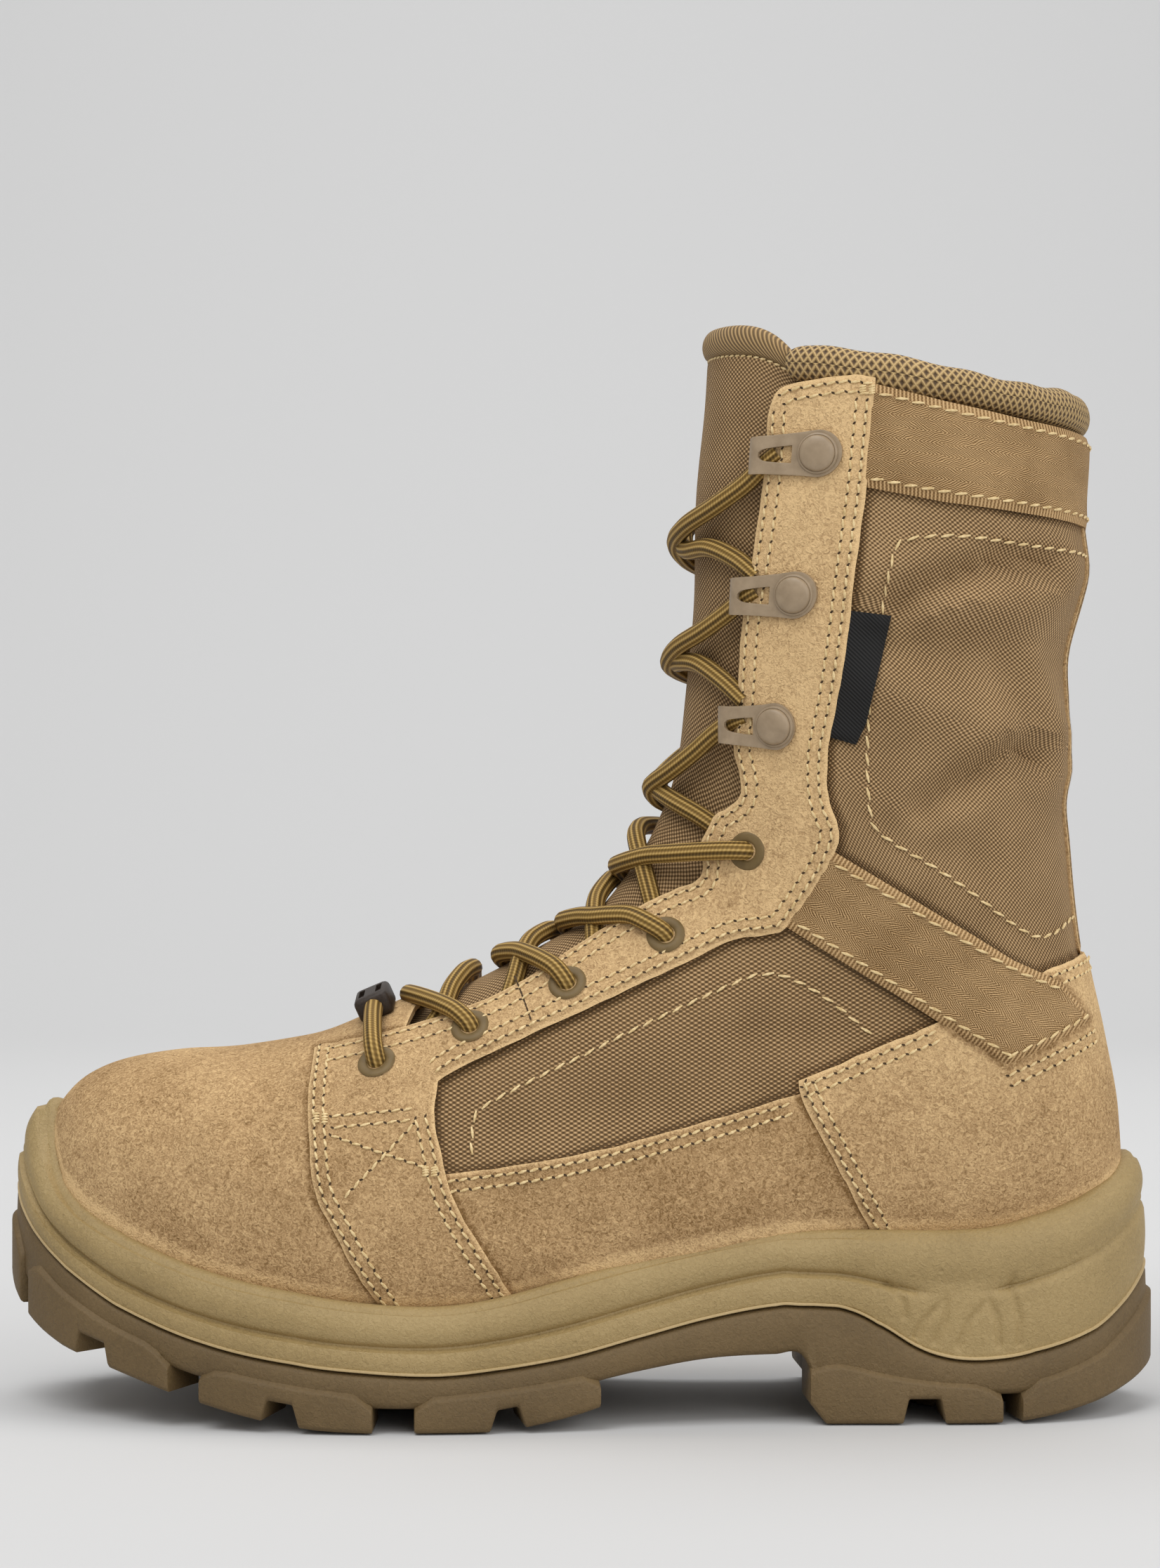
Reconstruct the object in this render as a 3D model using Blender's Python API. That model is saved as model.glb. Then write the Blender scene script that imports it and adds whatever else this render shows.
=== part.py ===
"""A left tactical boot, eight inches high, at its real size.

A lasted upper of nylon and suede stands in an injected midsole on a lugged rubber outsole.
X runs from toe to heel, the outer side of the foot faces -Y, and the floor is Z = 0.
Sizes in the tables are millimetres. Meshes are turned into metres when they are made.
"""

import math
from collections import namedtuple

import bmesh
import bpy
from mathutils import Vector

for old in list(bpy.data.objects):
    bpy.data.objects.remove(old, do_unlink=True)

# Driving sizes
WALL = 2.4
GAP = 0.35
OVERLAY = 1.6
TONGUE = 4.2
LACE_RADIUS = 2.3
RING_STEPS = 22
COLLAR_ROW = 22.66

# The last, one row for each section from the toe tip, round the heel and up to the collar.
# A section runs from its front point to its back point, and is widest part of the way along.
Section = namedtuple(
    "Section", "front_x front_z back_x back_z centre half widest front_power back_power"
)
SECTIONS = [
    Section(-141.3, 66.0, -141.3, 66.0, 5.5, 0.0, 0.62, 2.1, 2.6),
    Section(-140.3, 75.0, -140.3, 56.0, 5.5, 8.0, 0.60, 2.1, 2.6),
    Section(-137.3, 80.5, -137.3, 48.5, 5.5, 16.5, 0.60, 2.1, 2.8),
    Section(-131.5, 85.6, -131.5, 41.5, 5.5, 25.0, 0.60, 2.1, 3.0),
    Section(-122.0, 89.4, -122.0, 35.0, 5.5, 33.2, 0.61, 2.1, 3.2),
    Section(-107.0, 91.9, -107.0, 28.5, 5.0, 40.5, 0.63, 2.1, 3.2),
    Section(-89.0, 93.2, -89.0, 24.5, 3.5, 45.3, 0.65, 2.1, 3.2),
    Section(-70.0, 96.6, -70.0, 22.3, 1.5, 47.3, 0.67, 2.05, 3.2),
    Section(-52.0, 104.0, -52.0, 22.0, -0.7, 47.0, 0.69, 2.0, 3.2),
    Section(-34.0, 111.5, -30.0, 23.0, -3.0, 44.5, 0.70, 1.95, 3.1),
    Section(-14.0, 121.0, -4.0, 26.0, -4.5, 41.5, 0.70, 1.9, 3.0),
    Section(2.0, 130.5, 28.0, 30.0, -4.5, 39.0, 0.68, 1.9, 2.9),
    Section(10.5, 141.0, 62.0, 34.5, -2.5, 37.0, 0.64, 1.9, 2.8),
    Section(15.5, 150.0, 98.0, 37.5, -1.3, 35.0, 0.60, 1.9, 2.7),
    Section(18.5, 157.5, 125.0, 41.0, -0.8, 34.5, 0.57, 1.9, 2.5),
    Section(21.0, 165.0, 139.5, 55.0, -0.5, 35.0, 0.55, 1.9, 2.35),
    Section(22.8, 172.0, 140.5, 76.0, -0.5, 36.0, 0.54, 1.9, 2.3),
    Section(24.0, 180.0, 137.0, 97.0, -0.5, 37.0, 0.53, 1.9, 2.25),
    Section(24.9, 190.0, 132.0, 121.0, -0.5, 38.0, 0.53, 1.9, 2.2),
    Section(25.6, 203.0, 129.0, 150.0, -0.5, 39.5, 0.53, 1.95, 2.2),
    Section(26.5, 218.0, 128.5, 180.0, -0.5, 41.5, 0.53, 1.95, 2.2),
    Section(27.6, 236.0, 131.5, 210.0, -0.5, 43.0, 0.53, 2.0, 2.2),
    Section(28.8, 256.0, 133.3, 238.0, -0.5, 43.5, 0.53, 2.0, 2.2),
    Section(30.3, 280.0, 133.5, 264.0, -0.5, 43.5, 0.53, 2.0, 2.2),
    Section(32.0, 304.0, 133.5, 290.0, -0.5, 43.5, 0.53, 2.0, 2.2),
]

# The sole, one row for each station from toe to heel. Heights are of the tread, the slab between
# the lugs, the top of the side lugs, the line between outsole and midsole, the step in the
# midsole's side as a share of its height, and its rim. Lean draws the rim in over the toe.
Station = namedtuple("Station", "x centre half tread slab lug parting step rim lean")
STATIONS = [
    Station(-150.5, 5.5, 0.0, 34.0, 41.0, 51.0, 57.0, 0.40, 80.0, 4.5),
    Station(-148.0, 5.5, 12.0, 28.5, 35.5, 46.0, 51.5, 0.38, 72.5, 4.0),
    Station(-142.0, 5.5, 22.5, 22.5, 29.0, 39.5, 44.5, 0.36, 60.5, 2.5),
    Station(-134.0, 5.5, 31.5, 18.0, 24.5, 33.0, 38.0, 0.35, 53.5, 1.0),
    Station(-120.0, 5.3, 41.5, 13.5, 20.0, 25.5, 29.8, 0.34, 46.8, 0.3),
    Station(-97.0, 4.0, 50.5, 6.5, 12.8, 17.5, 21.6, 0.35, 39.2, 0.0),
    Station(-73.0, 1.7, 54.3, 1.4, 7.8, 12.8, 17.0, 0.36, 34.5, 0.0),
    Station(-55.0, -0.2, 54.0, 0.0, 6.2, 10.8, 15.0, 0.37, 32.0, 0.0),
    Station(-37.0, -2.3, 51.7, 0.0, 6.0, 10.2, 14.2, 0.39, 31.2, 0.0),
    Station(-22.0, -4.0, 48.5, 0.0, 6.4, 11.5, 15.5, 0.39, 33.0, 0.0),
    Station(-4.0, -5.4, 44.3, 3.2, 10.2, 14.0, 18.2, 0.39, 37.5, 0.0),
    Station(13.0, -5.4, 41.0, 8.0, 14.0, 18.0, 22.5, 0.40, 41.8, 0.0),
    Station(32.0, -4.4, 38.5, 10.0, 17.0, 21.0, 27.2, 0.42, 45.7, 0.0),
    Station(50.0, -3.0, 37.5, 10.0, 17.8, 20.0, 30.2, 0.44, 48.6, 0.0),
    Station(56.5, -2.5, 37.5, 8.0, 17.6, 19.0, 30.2, 0.43, 49.0, 0.0),
    Station(62.0, -2.1, 37.6, 0.0, 7.2, 16.6, 30.0, 0.42, 49.2, 0.0),
    Station(68.0, -1.8, 37.7, 0.0, 7.2, 16.0, 29.2, 0.42, 49.2, 0.0),
    Station(76.0, -1.5, 38.0, 0.0, 7.2, 14.0, 25.5, 0.44, 49.2, 0.0),
    Station(87.0, -1.2, 38.2, 0.0, 7.2, 12.0, 19.1, 0.48, 49.0, 0.0),
    Station(96.0, -1.0, 38.2, 0.0, 7.2, 11.2, 16.4, 0.52, 49.0, 0.0),
    Station(106.0, -0.8, 37.8, 0.0, 7.2, 10.8, 16.2, 0.53, 49.5, 0.0),
    Station(117.0, -0.6, 36.0, 1.0, 7.6, 11.8, 18.0, 0.54, 51.8, 0.0),
    Station(133.0, -0.5, 28.8, 4.4, 10.2, 17.0, 22.7, 0.56, 56.5, 0.0),
    Station(142.0, -0.3, 20.0, 7.6, 14.0, 23.5, 29.0, 0.56, 61.0, 0.0),
    Station(147.0, 0.0, 11.8, 10.0, 18.0, 28.5, 34.0, 0.56, 64.5, 0.0),
    Station(149.5, 0.0, 0.0, 12.0, 21.0, 31.5, 37.0, 0.56, 66.5, 0.0),
]


def blend(rows, place):
    """The table's row at a fractional index, on a smooth curve through its neighbours."""
    index = min(max(int(place), 0), len(rows) - 2)
    part = place - index
    before, start = rows[max(index - 1, 0)], rows[index]
    stop, after = rows[index + 1], rows[min(index + 2, len(rows) - 1)]
    values = []
    for a, b, c, d in zip(before, start, stop, after):
        rise, fall = (c - a) / 2, (d - b) / 2
        cubic = 2 * b - 2 * c + rise + fall
        square = 3 * c - 3 * b - 2 * rise - fall
        values.append(((cubic * part + square) * part + rise) * part + b)
    return type(rows[0])(*values)


def last_point(row, angle):
    """A point of the last: angle 0 is the front, 90 the outer side, 180 the back."""
    section = blend(SECTIONS, row)
    cosine, sine = math.cos(math.radians(angle)), math.sin(math.radians(angle))
    if cosine >= 0:
        power = section.front_power
        along = section.widest * (1 - cosine ** (2 / power))
    else:
        power = section.back_power
        along = section.widest + (1 - section.widest) * (-cosine) ** (2 / power)
    reach = section.half * abs(sine) ** (2 / power)
    return Vector(
        (
            section.front_x + (section.back_x - section.front_x) * along,
            section.centre - math.copysign(reach, sine),
            section.front_z + (section.back_z - section.front_z) * along,
        )
    )


def last_normal(row, angle):
    if row < 0.01:
        return Vector((-1.0, 0.0, 0.0))
    small = 0.01
    across = last_point(row, angle + 1) - last_point(row, angle - 1)
    onward = last_point(row + small, angle) - last_point(row - small, angle)
    return across.cross(onward).normalized()


def skin(row, angle, lift):
    """A point this far outside the last."""
    return last_point(row, angle) + last_normal(row, angle) * lift


def paint(target, name, colour, roughness, metallic=0.0):
    material = bpy.data.materials.new(name)
    material.use_nodes = True
    shader = material.node_tree.nodes["Principled BSDF"]
    shader.inputs["Base Color"].default_value = (*colour, 1.0)
    shader.inputs["Roughness"].default_value = roughness
    shader.inputs["Metallic"].default_value = metallic
    target.data.materials.append(material)


def solid(name, points, faces):
    """A mesh object in metres with its faces turned outwards."""
    mesh = bpy.data.meshes.new(name)
    mesh.from_pydata([tuple(point * 0.001) for point in points], [], faces)
    work = bmesh.new()
    work.from_mesh(mesh)
    bmesh.ops.remove_doubles(work, verts=work.verts, dist=1e-7)
    bmesh.ops.recalc_face_normals(work, faces=work.faces)
    work.to_mesh(mesh)
    work.free()
    made = bpy.data.objects.new(name, mesh)
    bpy.context.scene.collection.objects.link(made)
    return made


def helper(made):
    made.hide_render = True
    made.display_type = "WIRE"
    return made


def combine(target, operation, other):
    step = target.modifiers.new(operation.lower() + "_" + other.name, "BOOLEAN")
    step.operation = operation
    step.solver = "EXACT"
    step.object = other


def sheet(name, low, high, around=False, pole=False, missing=()):
    """A closed sheet between two grids. Around joins its last column to its first, a pole closes
    the first row to a point, and missing cells leave holes with walls."""
    rows, columns = len(low), len(low[0])
    points = [point for line in low for point in line] + [point for line in high for point in line]
    top = rows * columns
    cells = {
        (i, j)
        for i in range(rows - 1)
        for j in range(columns if around else columns - 1)
        if (i, j) not in missing
    }
    faces = []

    def spot(i, j):
        return i * columns + j % columns

    for i, j in cells:
        ring = [spot(i, j), spot(i + 1, j), spot(i + 1, j + 1), spot(i, j + 1)]
        for half in (ring[:3], [ring[0], ring[2], ring[3]]):
            faces.append([top + corner for corner in half])
            faces.append(half[::-1])
        side = {
            (i - 1, j): (ring[3], ring[0]),
            (i + 1, j): (ring[1], ring[2]),
            (i, (j - 1) % columns if around else j - 1): (ring[0], ring[1]),
            (i, (j + 1) % columns if around else j + 1): (ring[2], ring[3]),
        }
        for other, (first, second) in side.items():
            if other not in cells and not (pole and other[0] < 0):
                faces.append([second, first, top + first, top + second])
    return solid(name, points, faces)


def shell(name, rows, low, high):
    """A ring-shaped layer of the last between two lifts, closed over the toe if it starts there."""
    angles = [360 * step / RING_STEPS for step in range(RING_STEPS)]
    inner = [[skin(row, angle, low) for angle in angles] for row in rows]
    outer = [[skin(row, angle, high) for angle in angles] for row in rows]
    return sheet(name, inner, outer, around=True, pole=rows[0] == 0)


def core(name, rows, lift):
    """The last as a filled body at this lift, cut off at its final row."""
    angles = [360 * step / RING_STEPS for step in range(RING_STEPS)]
    points = [skin(row, angle, lift) for row in rows for angle in angles]
    faces = []
    for i in range(len(rows) - 1):
        for j in range(RING_STEPS):
            k = (j + 1) % RING_STEPS
            first, second = i * RING_STEPS, (i + 1) * RING_STEPS
            faces.append([first + j, second + j, second + k])
            faces.append([first + j, second + k, first + k])
    faces.append([(len(rows) - 1) * RING_STEPS + j for j in range(RING_STEPS)])
    return solid(name, points, faces)


def prism(name, outline, low=-90.0, high=90.0):
    """A side-view outline drawn out across the boot."""
    count = len(outline)
    points = [Vector((x, y, z)) for y in (low, high) for x, z in outline]
    faces = [list(range(count)), list(range(2 * count - 1, count - 1, -1))]
    faces += [[i, (i + 1) % count, count + (i + 1) % count, count + i] for i in range(count)]
    return solid(name, points, faces)


def sole_turn(x):
    """The angle of a station round the sole: 0 at the toe, 180 at the heel."""
    first, final = STATIONS[0].x, STATIONS[-1].x
    return math.degrees(math.acos(min(max((first + final - 2 * x) / (final - first), -1), 1)))


def station_at(x):
    """The sole's row at any x. Its half width is blended as a share of the round end's."""
    for index in range(len(STATIONS) - 1):
        if x <= STATIONS[index + 1].x:
            break
    shares = [row.half / max(math.sin(math.radians(sole_turn(row.x))), 1e-6) for row in STATIONS]
    shares[0], shares[-1] = shares[1], shares[-2]
    rows = [row._replace(half=share) for row, share in zip(STATIONS, shares)]
    before, after = sole_turn(STATIONS[index].x), sole_turn(STATIONS[index + 1].x)
    found = blend(rows, index + (sole_turn(x) - before) / (after - before))
    half = found.half * math.sin(math.radians(sole_turn(x)))
    return found._replace(half=half, tread=max(found.tread, 0.0))


def edge(turn):
    """Where the sole's outline is at this angle, with the direction outwards and its row.
    The outer side has positive angles and the inner side negative ones."""
    first, final = STATIONS[0].x, STATIONS[-1].x

    def place(angle):
        x = (first + final) / 2 - (final - first) / 2 * math.cos(math.radians(angle))
        row = station_at(x)
        return Vector((x, row.centre - math.copysign(row.half, math.sin(math.radians(angle))), 0)), row

    spot, row = place(turn)
    along = place(turn + 0.5)[0] - place(turn - 0.5)[0]
    return spot, Vector((along.y, -along.x, 0)).normalized(), row


LADDER = [sole_turn(row.x) for row in STATIONS]
for low, high in zip(STATIONS, STATIONS[1:]):
    if high.x - low.x > 20 or not low.half or not high.half:
        LADDER.append((sole_turn(low.x) + sole_turn(high.x)) / 2)
LADDER.sort()


def sole_block(name, levels):
    """A body round the sole. Levels give an outward offset and a height for a station's row."""
    turns = LADDER + [-turn for turn in LADDER[-2:0:-1]]
    count = len(turns)
    points = []
    for level in levels:
        for turn in turns:
            spot, outward, row = edge(turn)
            offset, height = level(row)
            points.append(spot + outward * offset + Vector((0, 0, height)))
    faces = []
    for i in range(len(levels) - 1):
        for j in range(count):
            k = (j + 1) % count
            faces.append([i * count + j, i * count + k, (i + 1) * count + k, (i + 1) * count + j])
    for start in (0, (len(levels) - 1) * count):
        for j in range(len(LADDER) - 1):
            outer, inner = j, (count - j) % count
            rung = [start + outer, start + outer + 1, start + (count - j - 1) % count, start + inner]
            faces.append(list(dict.fromkeys(rung)))
    return solid(name, points, faces)


def step_height(row):
    return row.parting + (row.rim - row.parting) * row.step


MIDSOLE_SIDE = [
    lambda row: (-0.6, row.parting),
    lambda row: (0.6, row.parting + 1.0),
    lambda row: (0.5, step_height(row) - 0.8),
    lambda row: (-1.0, step_height(row) + 0.8),
    lambda row: (-2.4 - row.lean, row.rim - 1.4),
    lambda row: (-4.4 - row.lean, row.rim),
]
OUTSOLE_SIDE = [
    lambda row: (-0.6, row.parting - GAP),
    lambda row: (0.6, row.parting - GAP - 1.2),
    lambda row: (1.0, row.slab + 1.6),
    lambda row: (-0.6, row.slab),
]

ALL_ROWS = [row for row in range(22) if row != 13] + [COLLAR_ROW]
FOOT_ROWS = ALL_ROWS[:17]

# Midsole: an injected cup whose recess follows the upper
midsole = sole_block("midsole", MIDSOLE_SIDE)
combine(midsole, "DIFFERENCE", helper(core("cup_form", FOOT_ROWS, GAP)))
paint(midsole, "olive_foam", (0.20, 0.15, 0.09), 0.6)

# Outsole: a slab with side plates, each split by a notch, and blocks down its middle
Plate = namedtuple("Plate", "start stop notch_start notch_stop depth")
PLATES = [
    Plate(-144.0, -105.0, -130.0, -121.0, 15.0),
    Plate(-97.0, -53.0, -81.0, -71.5, 19.0),
    Plate(-42.5, 4.5, -23.5, -14.5, 19.0),
    Plate(58.5, 108.0, 82.5, 93.5, 17.0),
]
Block = namedtuple("Block", "x y length width twist")
BLOCKS = [
    Block(-114, 6, 15, 22, 12),
    Block(-92, 14, 13, 20, -22),
    Block(-88, -9, 13, 20, 22),
    Block(-66, 13, 13, 22, -22),
    Block(-62, -11, 13, 22, 22),
    Block(-40, 9, 13, 22, -22),
    Block(-36, -14, 13, 22, 22),
    Block(-16, -3, 13, 24, 0),
    Block(72, -2, 15, 26, 0),
    Block(95, -1, 15, 26, 0),
    Block(116, -1, 11, 20, 0),
]


def side_plate(turns, notch, depth):
    """Points and faces of a lug plate that follows the outline, with its notch left higher."""
    points, faces = [], []
    for turn in turns:
        spot, outward, row = edge(turn)
        inside = notch[0] - 0.01 < turn < notch[1] + 0.01
        low = row.slab - 0.8 if inside else row.tread
        for offset, height in (
            (-depth, low),
            (2.0, low),
            (2.4, max(row.lug - 2.0, low + 0.5)),
            (0.2, row.lug),
            (-depth, row.slab + 2.4),
        ):
            points.append(spot + outward * offset + Vector((0, 0, height)))
    for i in range(len(turns) - 1):
        for j in range(5):
            k = (j + 1) % 5
            faces.append([5 * i + j, 5 * i + k, 5 * i + 5 + k, 5 * i + 5 + j])
    faces += [[0, 1, 2, 3, 4], [5 * len(turns) - 5 + j for j in range(5)]]
    return points, faces


def spread(start, stop, count):
    return [start + (stop - start) * step / count for step in range(count + 1)]


lug_points, lug_faces = [], []


def add_lug(points, faces):
    base = len(lug_points)
    lug_points.extend(points)
    lug_faces.extend([base + corner for corner in face] for face in faces)


for side in (1, -1):
    for plate in PLATES:
        start, stop = sole_turn(plate.start), sole_turn(plate.stop)
        first, final = sole_turn(plate.notch_start), sole_turn(plate.notch_stop)
        slope = 1.0
        turns = spread(start, first, 2) + spread(first + slope, final - slope, 1)
        turns += spread(final, stop, 2)
        add_lug(*side_plate([side * t for t in turns],
                            sorted((side * (first + slope), side * (final - slope))), plate.depth))
toe, heel = sole_turn(-146.6), sole_turn(113.0)
add_lug(*side_plate(spread(-toe, toe, 6), (900, 900), 9.0))
add_lug(*side_plate(spread(heel, 174, 5) + spread(176, 184, 1) + spread(186, 360 - heel, 5),
                    (176, 184), 13.0))
for block in BLOCKS:
    row = station_at(block.x)
    turn = math.radians(block.twist)
    corners = []
    for u, v in ((-0.5, -0.32), (-0.2, -0.5), (0.5, -0.32), (0.5, 0.32), (-0.2, 0.5), (-0.5, 0.32)):
        u, v = u * block.length, v * block.width
        corners.append((block.x + u * math.cos(turn) - v * math.sin(turn),
                        block.y + u * math.sin(turn) + v * math.cos(turn)))
    points = [Vector((x, y, station_at(x).tread)) for x, y in corners]
    points += [Vector((x, y, row.slab + 2.2)) for x, y in corners]
    faces = [[0, 1, 2, 3, 4, 5], [11, 10, 9, 8, 7, 6]]
    faces += [[i, (i + 1) % 6, 6 + (i + 1) % 6, 6 + i] for i in range(6)]
    add_lug(points, faces)

outsole = sole_block("outsole", OUTSOLE_SIDE)
combine(outsole, "UNION", helper(solid("lugs", lug_points, lug_faces)))
paint(outsole, "brown_rubber", (0.11, 0.075, 0.045), 0.7)

# Upper: one lasted wall, open at the collar, the throat and underneath
upper = shell("upper", ALL_ROWS, -WALL, 0.0)
THROAT_EDGE = [
    (49, 262), (47, 240), (42, 205), (40, 174), (43, 166), (42, 160), (37, 157), (32.5, 152),
    (31, 146), (32, 139), (23, 135.5), (-3, 120), (-20, 108.5), (-38, 102), (-50, 99.5), (-56, 100),
    (-59, 103),
]
throat = helper(prism("throat", [(51, 267), (52, 300)] + [(-30, 300), (-60, 125)] + THROAT_EDGE[::-1]))
combine(upper, "DIFFERENCE", throat)
bed_low, bed_high = [], []
for row in range(4, 15):
    section = SECTIONS[row]
    reach = section.half * 0.66
    ends = [section.centre - reach, section.centre, section.centre + reach]
    bed_low.append([Vector((section.back_x, y, section.back_z - 9)) for y in ends])
    bed_high.append([Vector((section.back_x, y, section.back_z + 6)) for y in ends])
combine(upper, "DIFFERENCE", helper(sheet("sole_opening", bed_low, bed_high)))
paint(upper, "brown_nylon", (0.16, 0.10, 0.055), 0.8)

# Insole: a bed inside the wall, resting on its turned-in margin
insole = core("insole", FOOT_ROWS[:16], -WALL - GAP)
bed_line = [(s.back_x, s.back_z + WALL + 5.0) for s in SECTIONS[3:15]]
bed = [(-160, 62), (-139, 55)] + bed_line + [(150, 46), (150, 0), (-160, 0)]
combine(insole, "INTERSECT", helper(prism("bed", bed)))
paint(insole, "grey_felt", (0.05, 0.05, 0.05), 0.9)

# Tongue: a padded sheet under both sides of the throat
Reach = namedtuple("Reach", "row angle")
TONGUE_REACH = [
    Reach(7.6, 36), Reach(8.3, 42), Reach(9, 46), Reach(10, 48), Reach(11, 50), Reach(12, 53),
    Reach(13.5, 57), Reach(15, 60), Reach(16.5, 63), Reach(18, 66), Reach(19.5, 67), Reach(21, 66),
    Reach(22.3, 62), Reach(23.0, 55), Reach(23.2, 46),
]
tongue_low, tongue_high = [], []
for reach in TONGUE_REACH:
    angles = [reach.angle * step / 3 for step in range(-3, 4)]
    tongue_low.append([skin(reach.row, angle, -WALL - 1.1 - TONGUE) for angle in angles])
    tongue_high.append([skin(reach.row, angle, -WALL - 1.1) for angle in angles])
tongue = sheet("tongue", tongue_low, tongue_high)
paint(tongue, "tongue_nylon", (0.17, 0.11, 0.06), 0.8)

# Overlays: pieces of one outer layer, each cut to its side-view outline above the midsole's rim
layer = helper(shell("layer", ALL_ROWS, GAP, GAP + OVERLAY))
STRAP_FRONT = [(-72, 97), (-70, 81), (-70, 73), (-68, 60), (-63, 51), (-57, 41), (-51.5, 32.6)]
STRAP_REAR = [(-37, 87), (-38, 79), (-35, 66), (-33, 59), (-25, 45), (-16.5, 34.9)]
STAY_REAR = [
    (-33, 90), (-2, 105), (31, 119), (40, 124), (51, 125), (54, 127), (63, 140), (66.5, 148),
    (67, 153), (63.5, 160), (63, 174), (67, 194), (73, 241), (75, 262),
]
COUNTER_FRONT = [(55, 88), (55, 85), (64, 70), (74, 50)]


def moved(line, step):
    return [(x + step, z) for x, z in line]


def rim_line(start, stop):
    """The side view of a line just above the midsole's rim, from toe to heel."""
    line = []
    for turn in LADDER:
        spot, outward, row = edge(turn)
        x = (spot - outward * (4.4 + row.lean)).x
        if start < x < stop:
            line.append((x, row.rim + 0.5))
    return line


def overlay(name, outline, low=-90.0, high=90.0):
    made = prism(name, outline, low, high)
    combine(made, "INTERSECT", layer)
    return made


eyestay = overlay(
    "eyestay",
    [(51, 266), (58, 268), (69, 270), (75, 268)]
    + STAY_REAR[::-1] + STRAP_REAR + rim_line(-50, -18)[::-1] + STRAP_FRONT[::-1]
    + [(-72.5, 125), (-60.5, 125)] + THROAT_EDGE[::-1],
)
vamp = [(-165, 125), (-73, 125)] + moved(STRAP_FRONT, -0.6) + rim_line(-165, -54)[::-1]
foxing = [(-5, 69), (31, 77), (54, 84)] + moved(COUNTER_FRONT[1:], -0.6)
foxing += rim_line(-14, 72)[::-1] + moved(STRAP_REAR[:1:-1], 0.6)
counter = COUNTER_FRONT + rim_line(76, 165)
counter += [(165, 67), (165, 124), (133, 120), (120.6, 116.4), (122.8, 113.8), (131, 103)]
counter += [(109, 91.2), (96, 99.2), (92, 102.2), (79, 98), (66, 93)]
suede = [
    eyestay,
    overlay("vamp", vamp + [(-165, 80.5)]),
    overlay("foxing_outer", foxing, high=0.0),
    overlay("foxing_inner", foxing, low=0.0),
    overlay("counter", counter),
]
for piece in suede:
    paint(piece, piece.name + "_suede", (0.36, 0.23, 0.12), 0.9)

STRAP = [
    (67.2, 146.2), (100, 125), (110, 119), (122, 113), (130, 103), (109, 92), (96, 100), (82, 110),
    (55.2, 126.2), (63.8, 139.4),
]
BAND = [(75.8, 280), (150, 280), (150, 229), (133, 232), (93, 236), (73.8, 240.5), (75.8, 262)]
LABEL = [(69.5, 208), (79, 208), (73, 180), (71, 174), (64.8, 177.5), (67.7, 194)]
for piece in (
    overlay("ankle_strap_outer", STRAP, high=0.0),
    overlay("ankle_strap_inner", STRAP, low=0.0),
    overlay("collar_band", BAND),
):
    paint(piece, piece.name + "_webbing", (0.21, 0.13, 0.07), 0.85)
label = overlay("label", LABEL, high=0.0)
paint(label, "black_label", (0.02, 0.02, 0.02), 0.8)
stay_rows, stay_angles = (18.35, 19.5, 20.6, 21.62), (173, 180, 187)
back_stay = sheet(
    "back_stay",
    [[skin(row, angle, GAP + 0.2) for angle in stay_angles] for row in stay_rows],
    [[skin(row, angle, GAP + OVERLAY) for angle in stay_angles] for row in stay_rows],
)
paint(back_stay, "back_stay_suede", (0.34, 0.22, 0.12), 0.9)


def tube(name, rings):
    """A closed body through rings of points, capped at both ends."""
    sides = len(rings[0])
    points = [point for ring in rings for point in ring]
    faces = [list(range(sides)), [len(points) - sides + j for j in range(sides)]]
    for i in range(len(rings) - 1):
        for j in range(sides):
            k = (j + 1) % sides
            faces.append([i * sides + j, i * sides + k, (i + 1) * sides + k, (i + 1) * sides + j])
    return solid(name, points, faces)


# Collar roll: padding that sits on the wall's top edge from one side of the throat to the other
roll_rings = []
for step in range(19):
    angle = 64 + 232 * step / 18
    middle, outward = skin(22.87, angle, -3.0), last_normal(22.87, angle)
    upward = (skin(23, angle, 0) - skin(22.7, angle, 0)).normalized()
    roll_rings.append(
        [
            middle
            + outward * 5.0 * math.cos(math.radians(45 * turn))
            + upward * 4.9 * math.sin(math.radians(45 * turn))
            for turn in range(8)
        ]
    )
collar_roll = tube("collar_roll", roll_rings)
paint(collar_roll, "collar_mesh", (0.17, 0.11, 0.06), 0.85)

# Eyelets: flanged rings through the eyestay and the wall, five on each side
Fitting = namedtuple("Fitting", "row angle")
EYELETS = [
    Fitting(7.97, 40), Fitting(9.24, 38), Fitting(10.48, 37), Fitting(12.22, 43), Fitting(15.27, 48)
]
HOOKS = [Fitting(18.41, 57), Fitting(20.28, 62), Fitting(21.94, 66)]
EYELET_SIDE = [(2.6, -2.7), (2.7, 3.5), (5.0, 2.6), (3.35, 2.5), (3.35, -2.7)]


def round_ring(row, angle, radius, lift, sides):
    middle, outward = skin(row, angle, lift), last_normal(row, angle)
    across = (skin(row, angle + 1, 0) - skin(row, angle - 1, 0)).normalized()
    other = outward.cross(across)
    return [
        middle
        + across * radius * math.cos(2 * math.pi * turn / sides)
        + other * radius * math.sin(2 * math.pi * turn / sides)
        for turn in range(sides)
    ]


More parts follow.
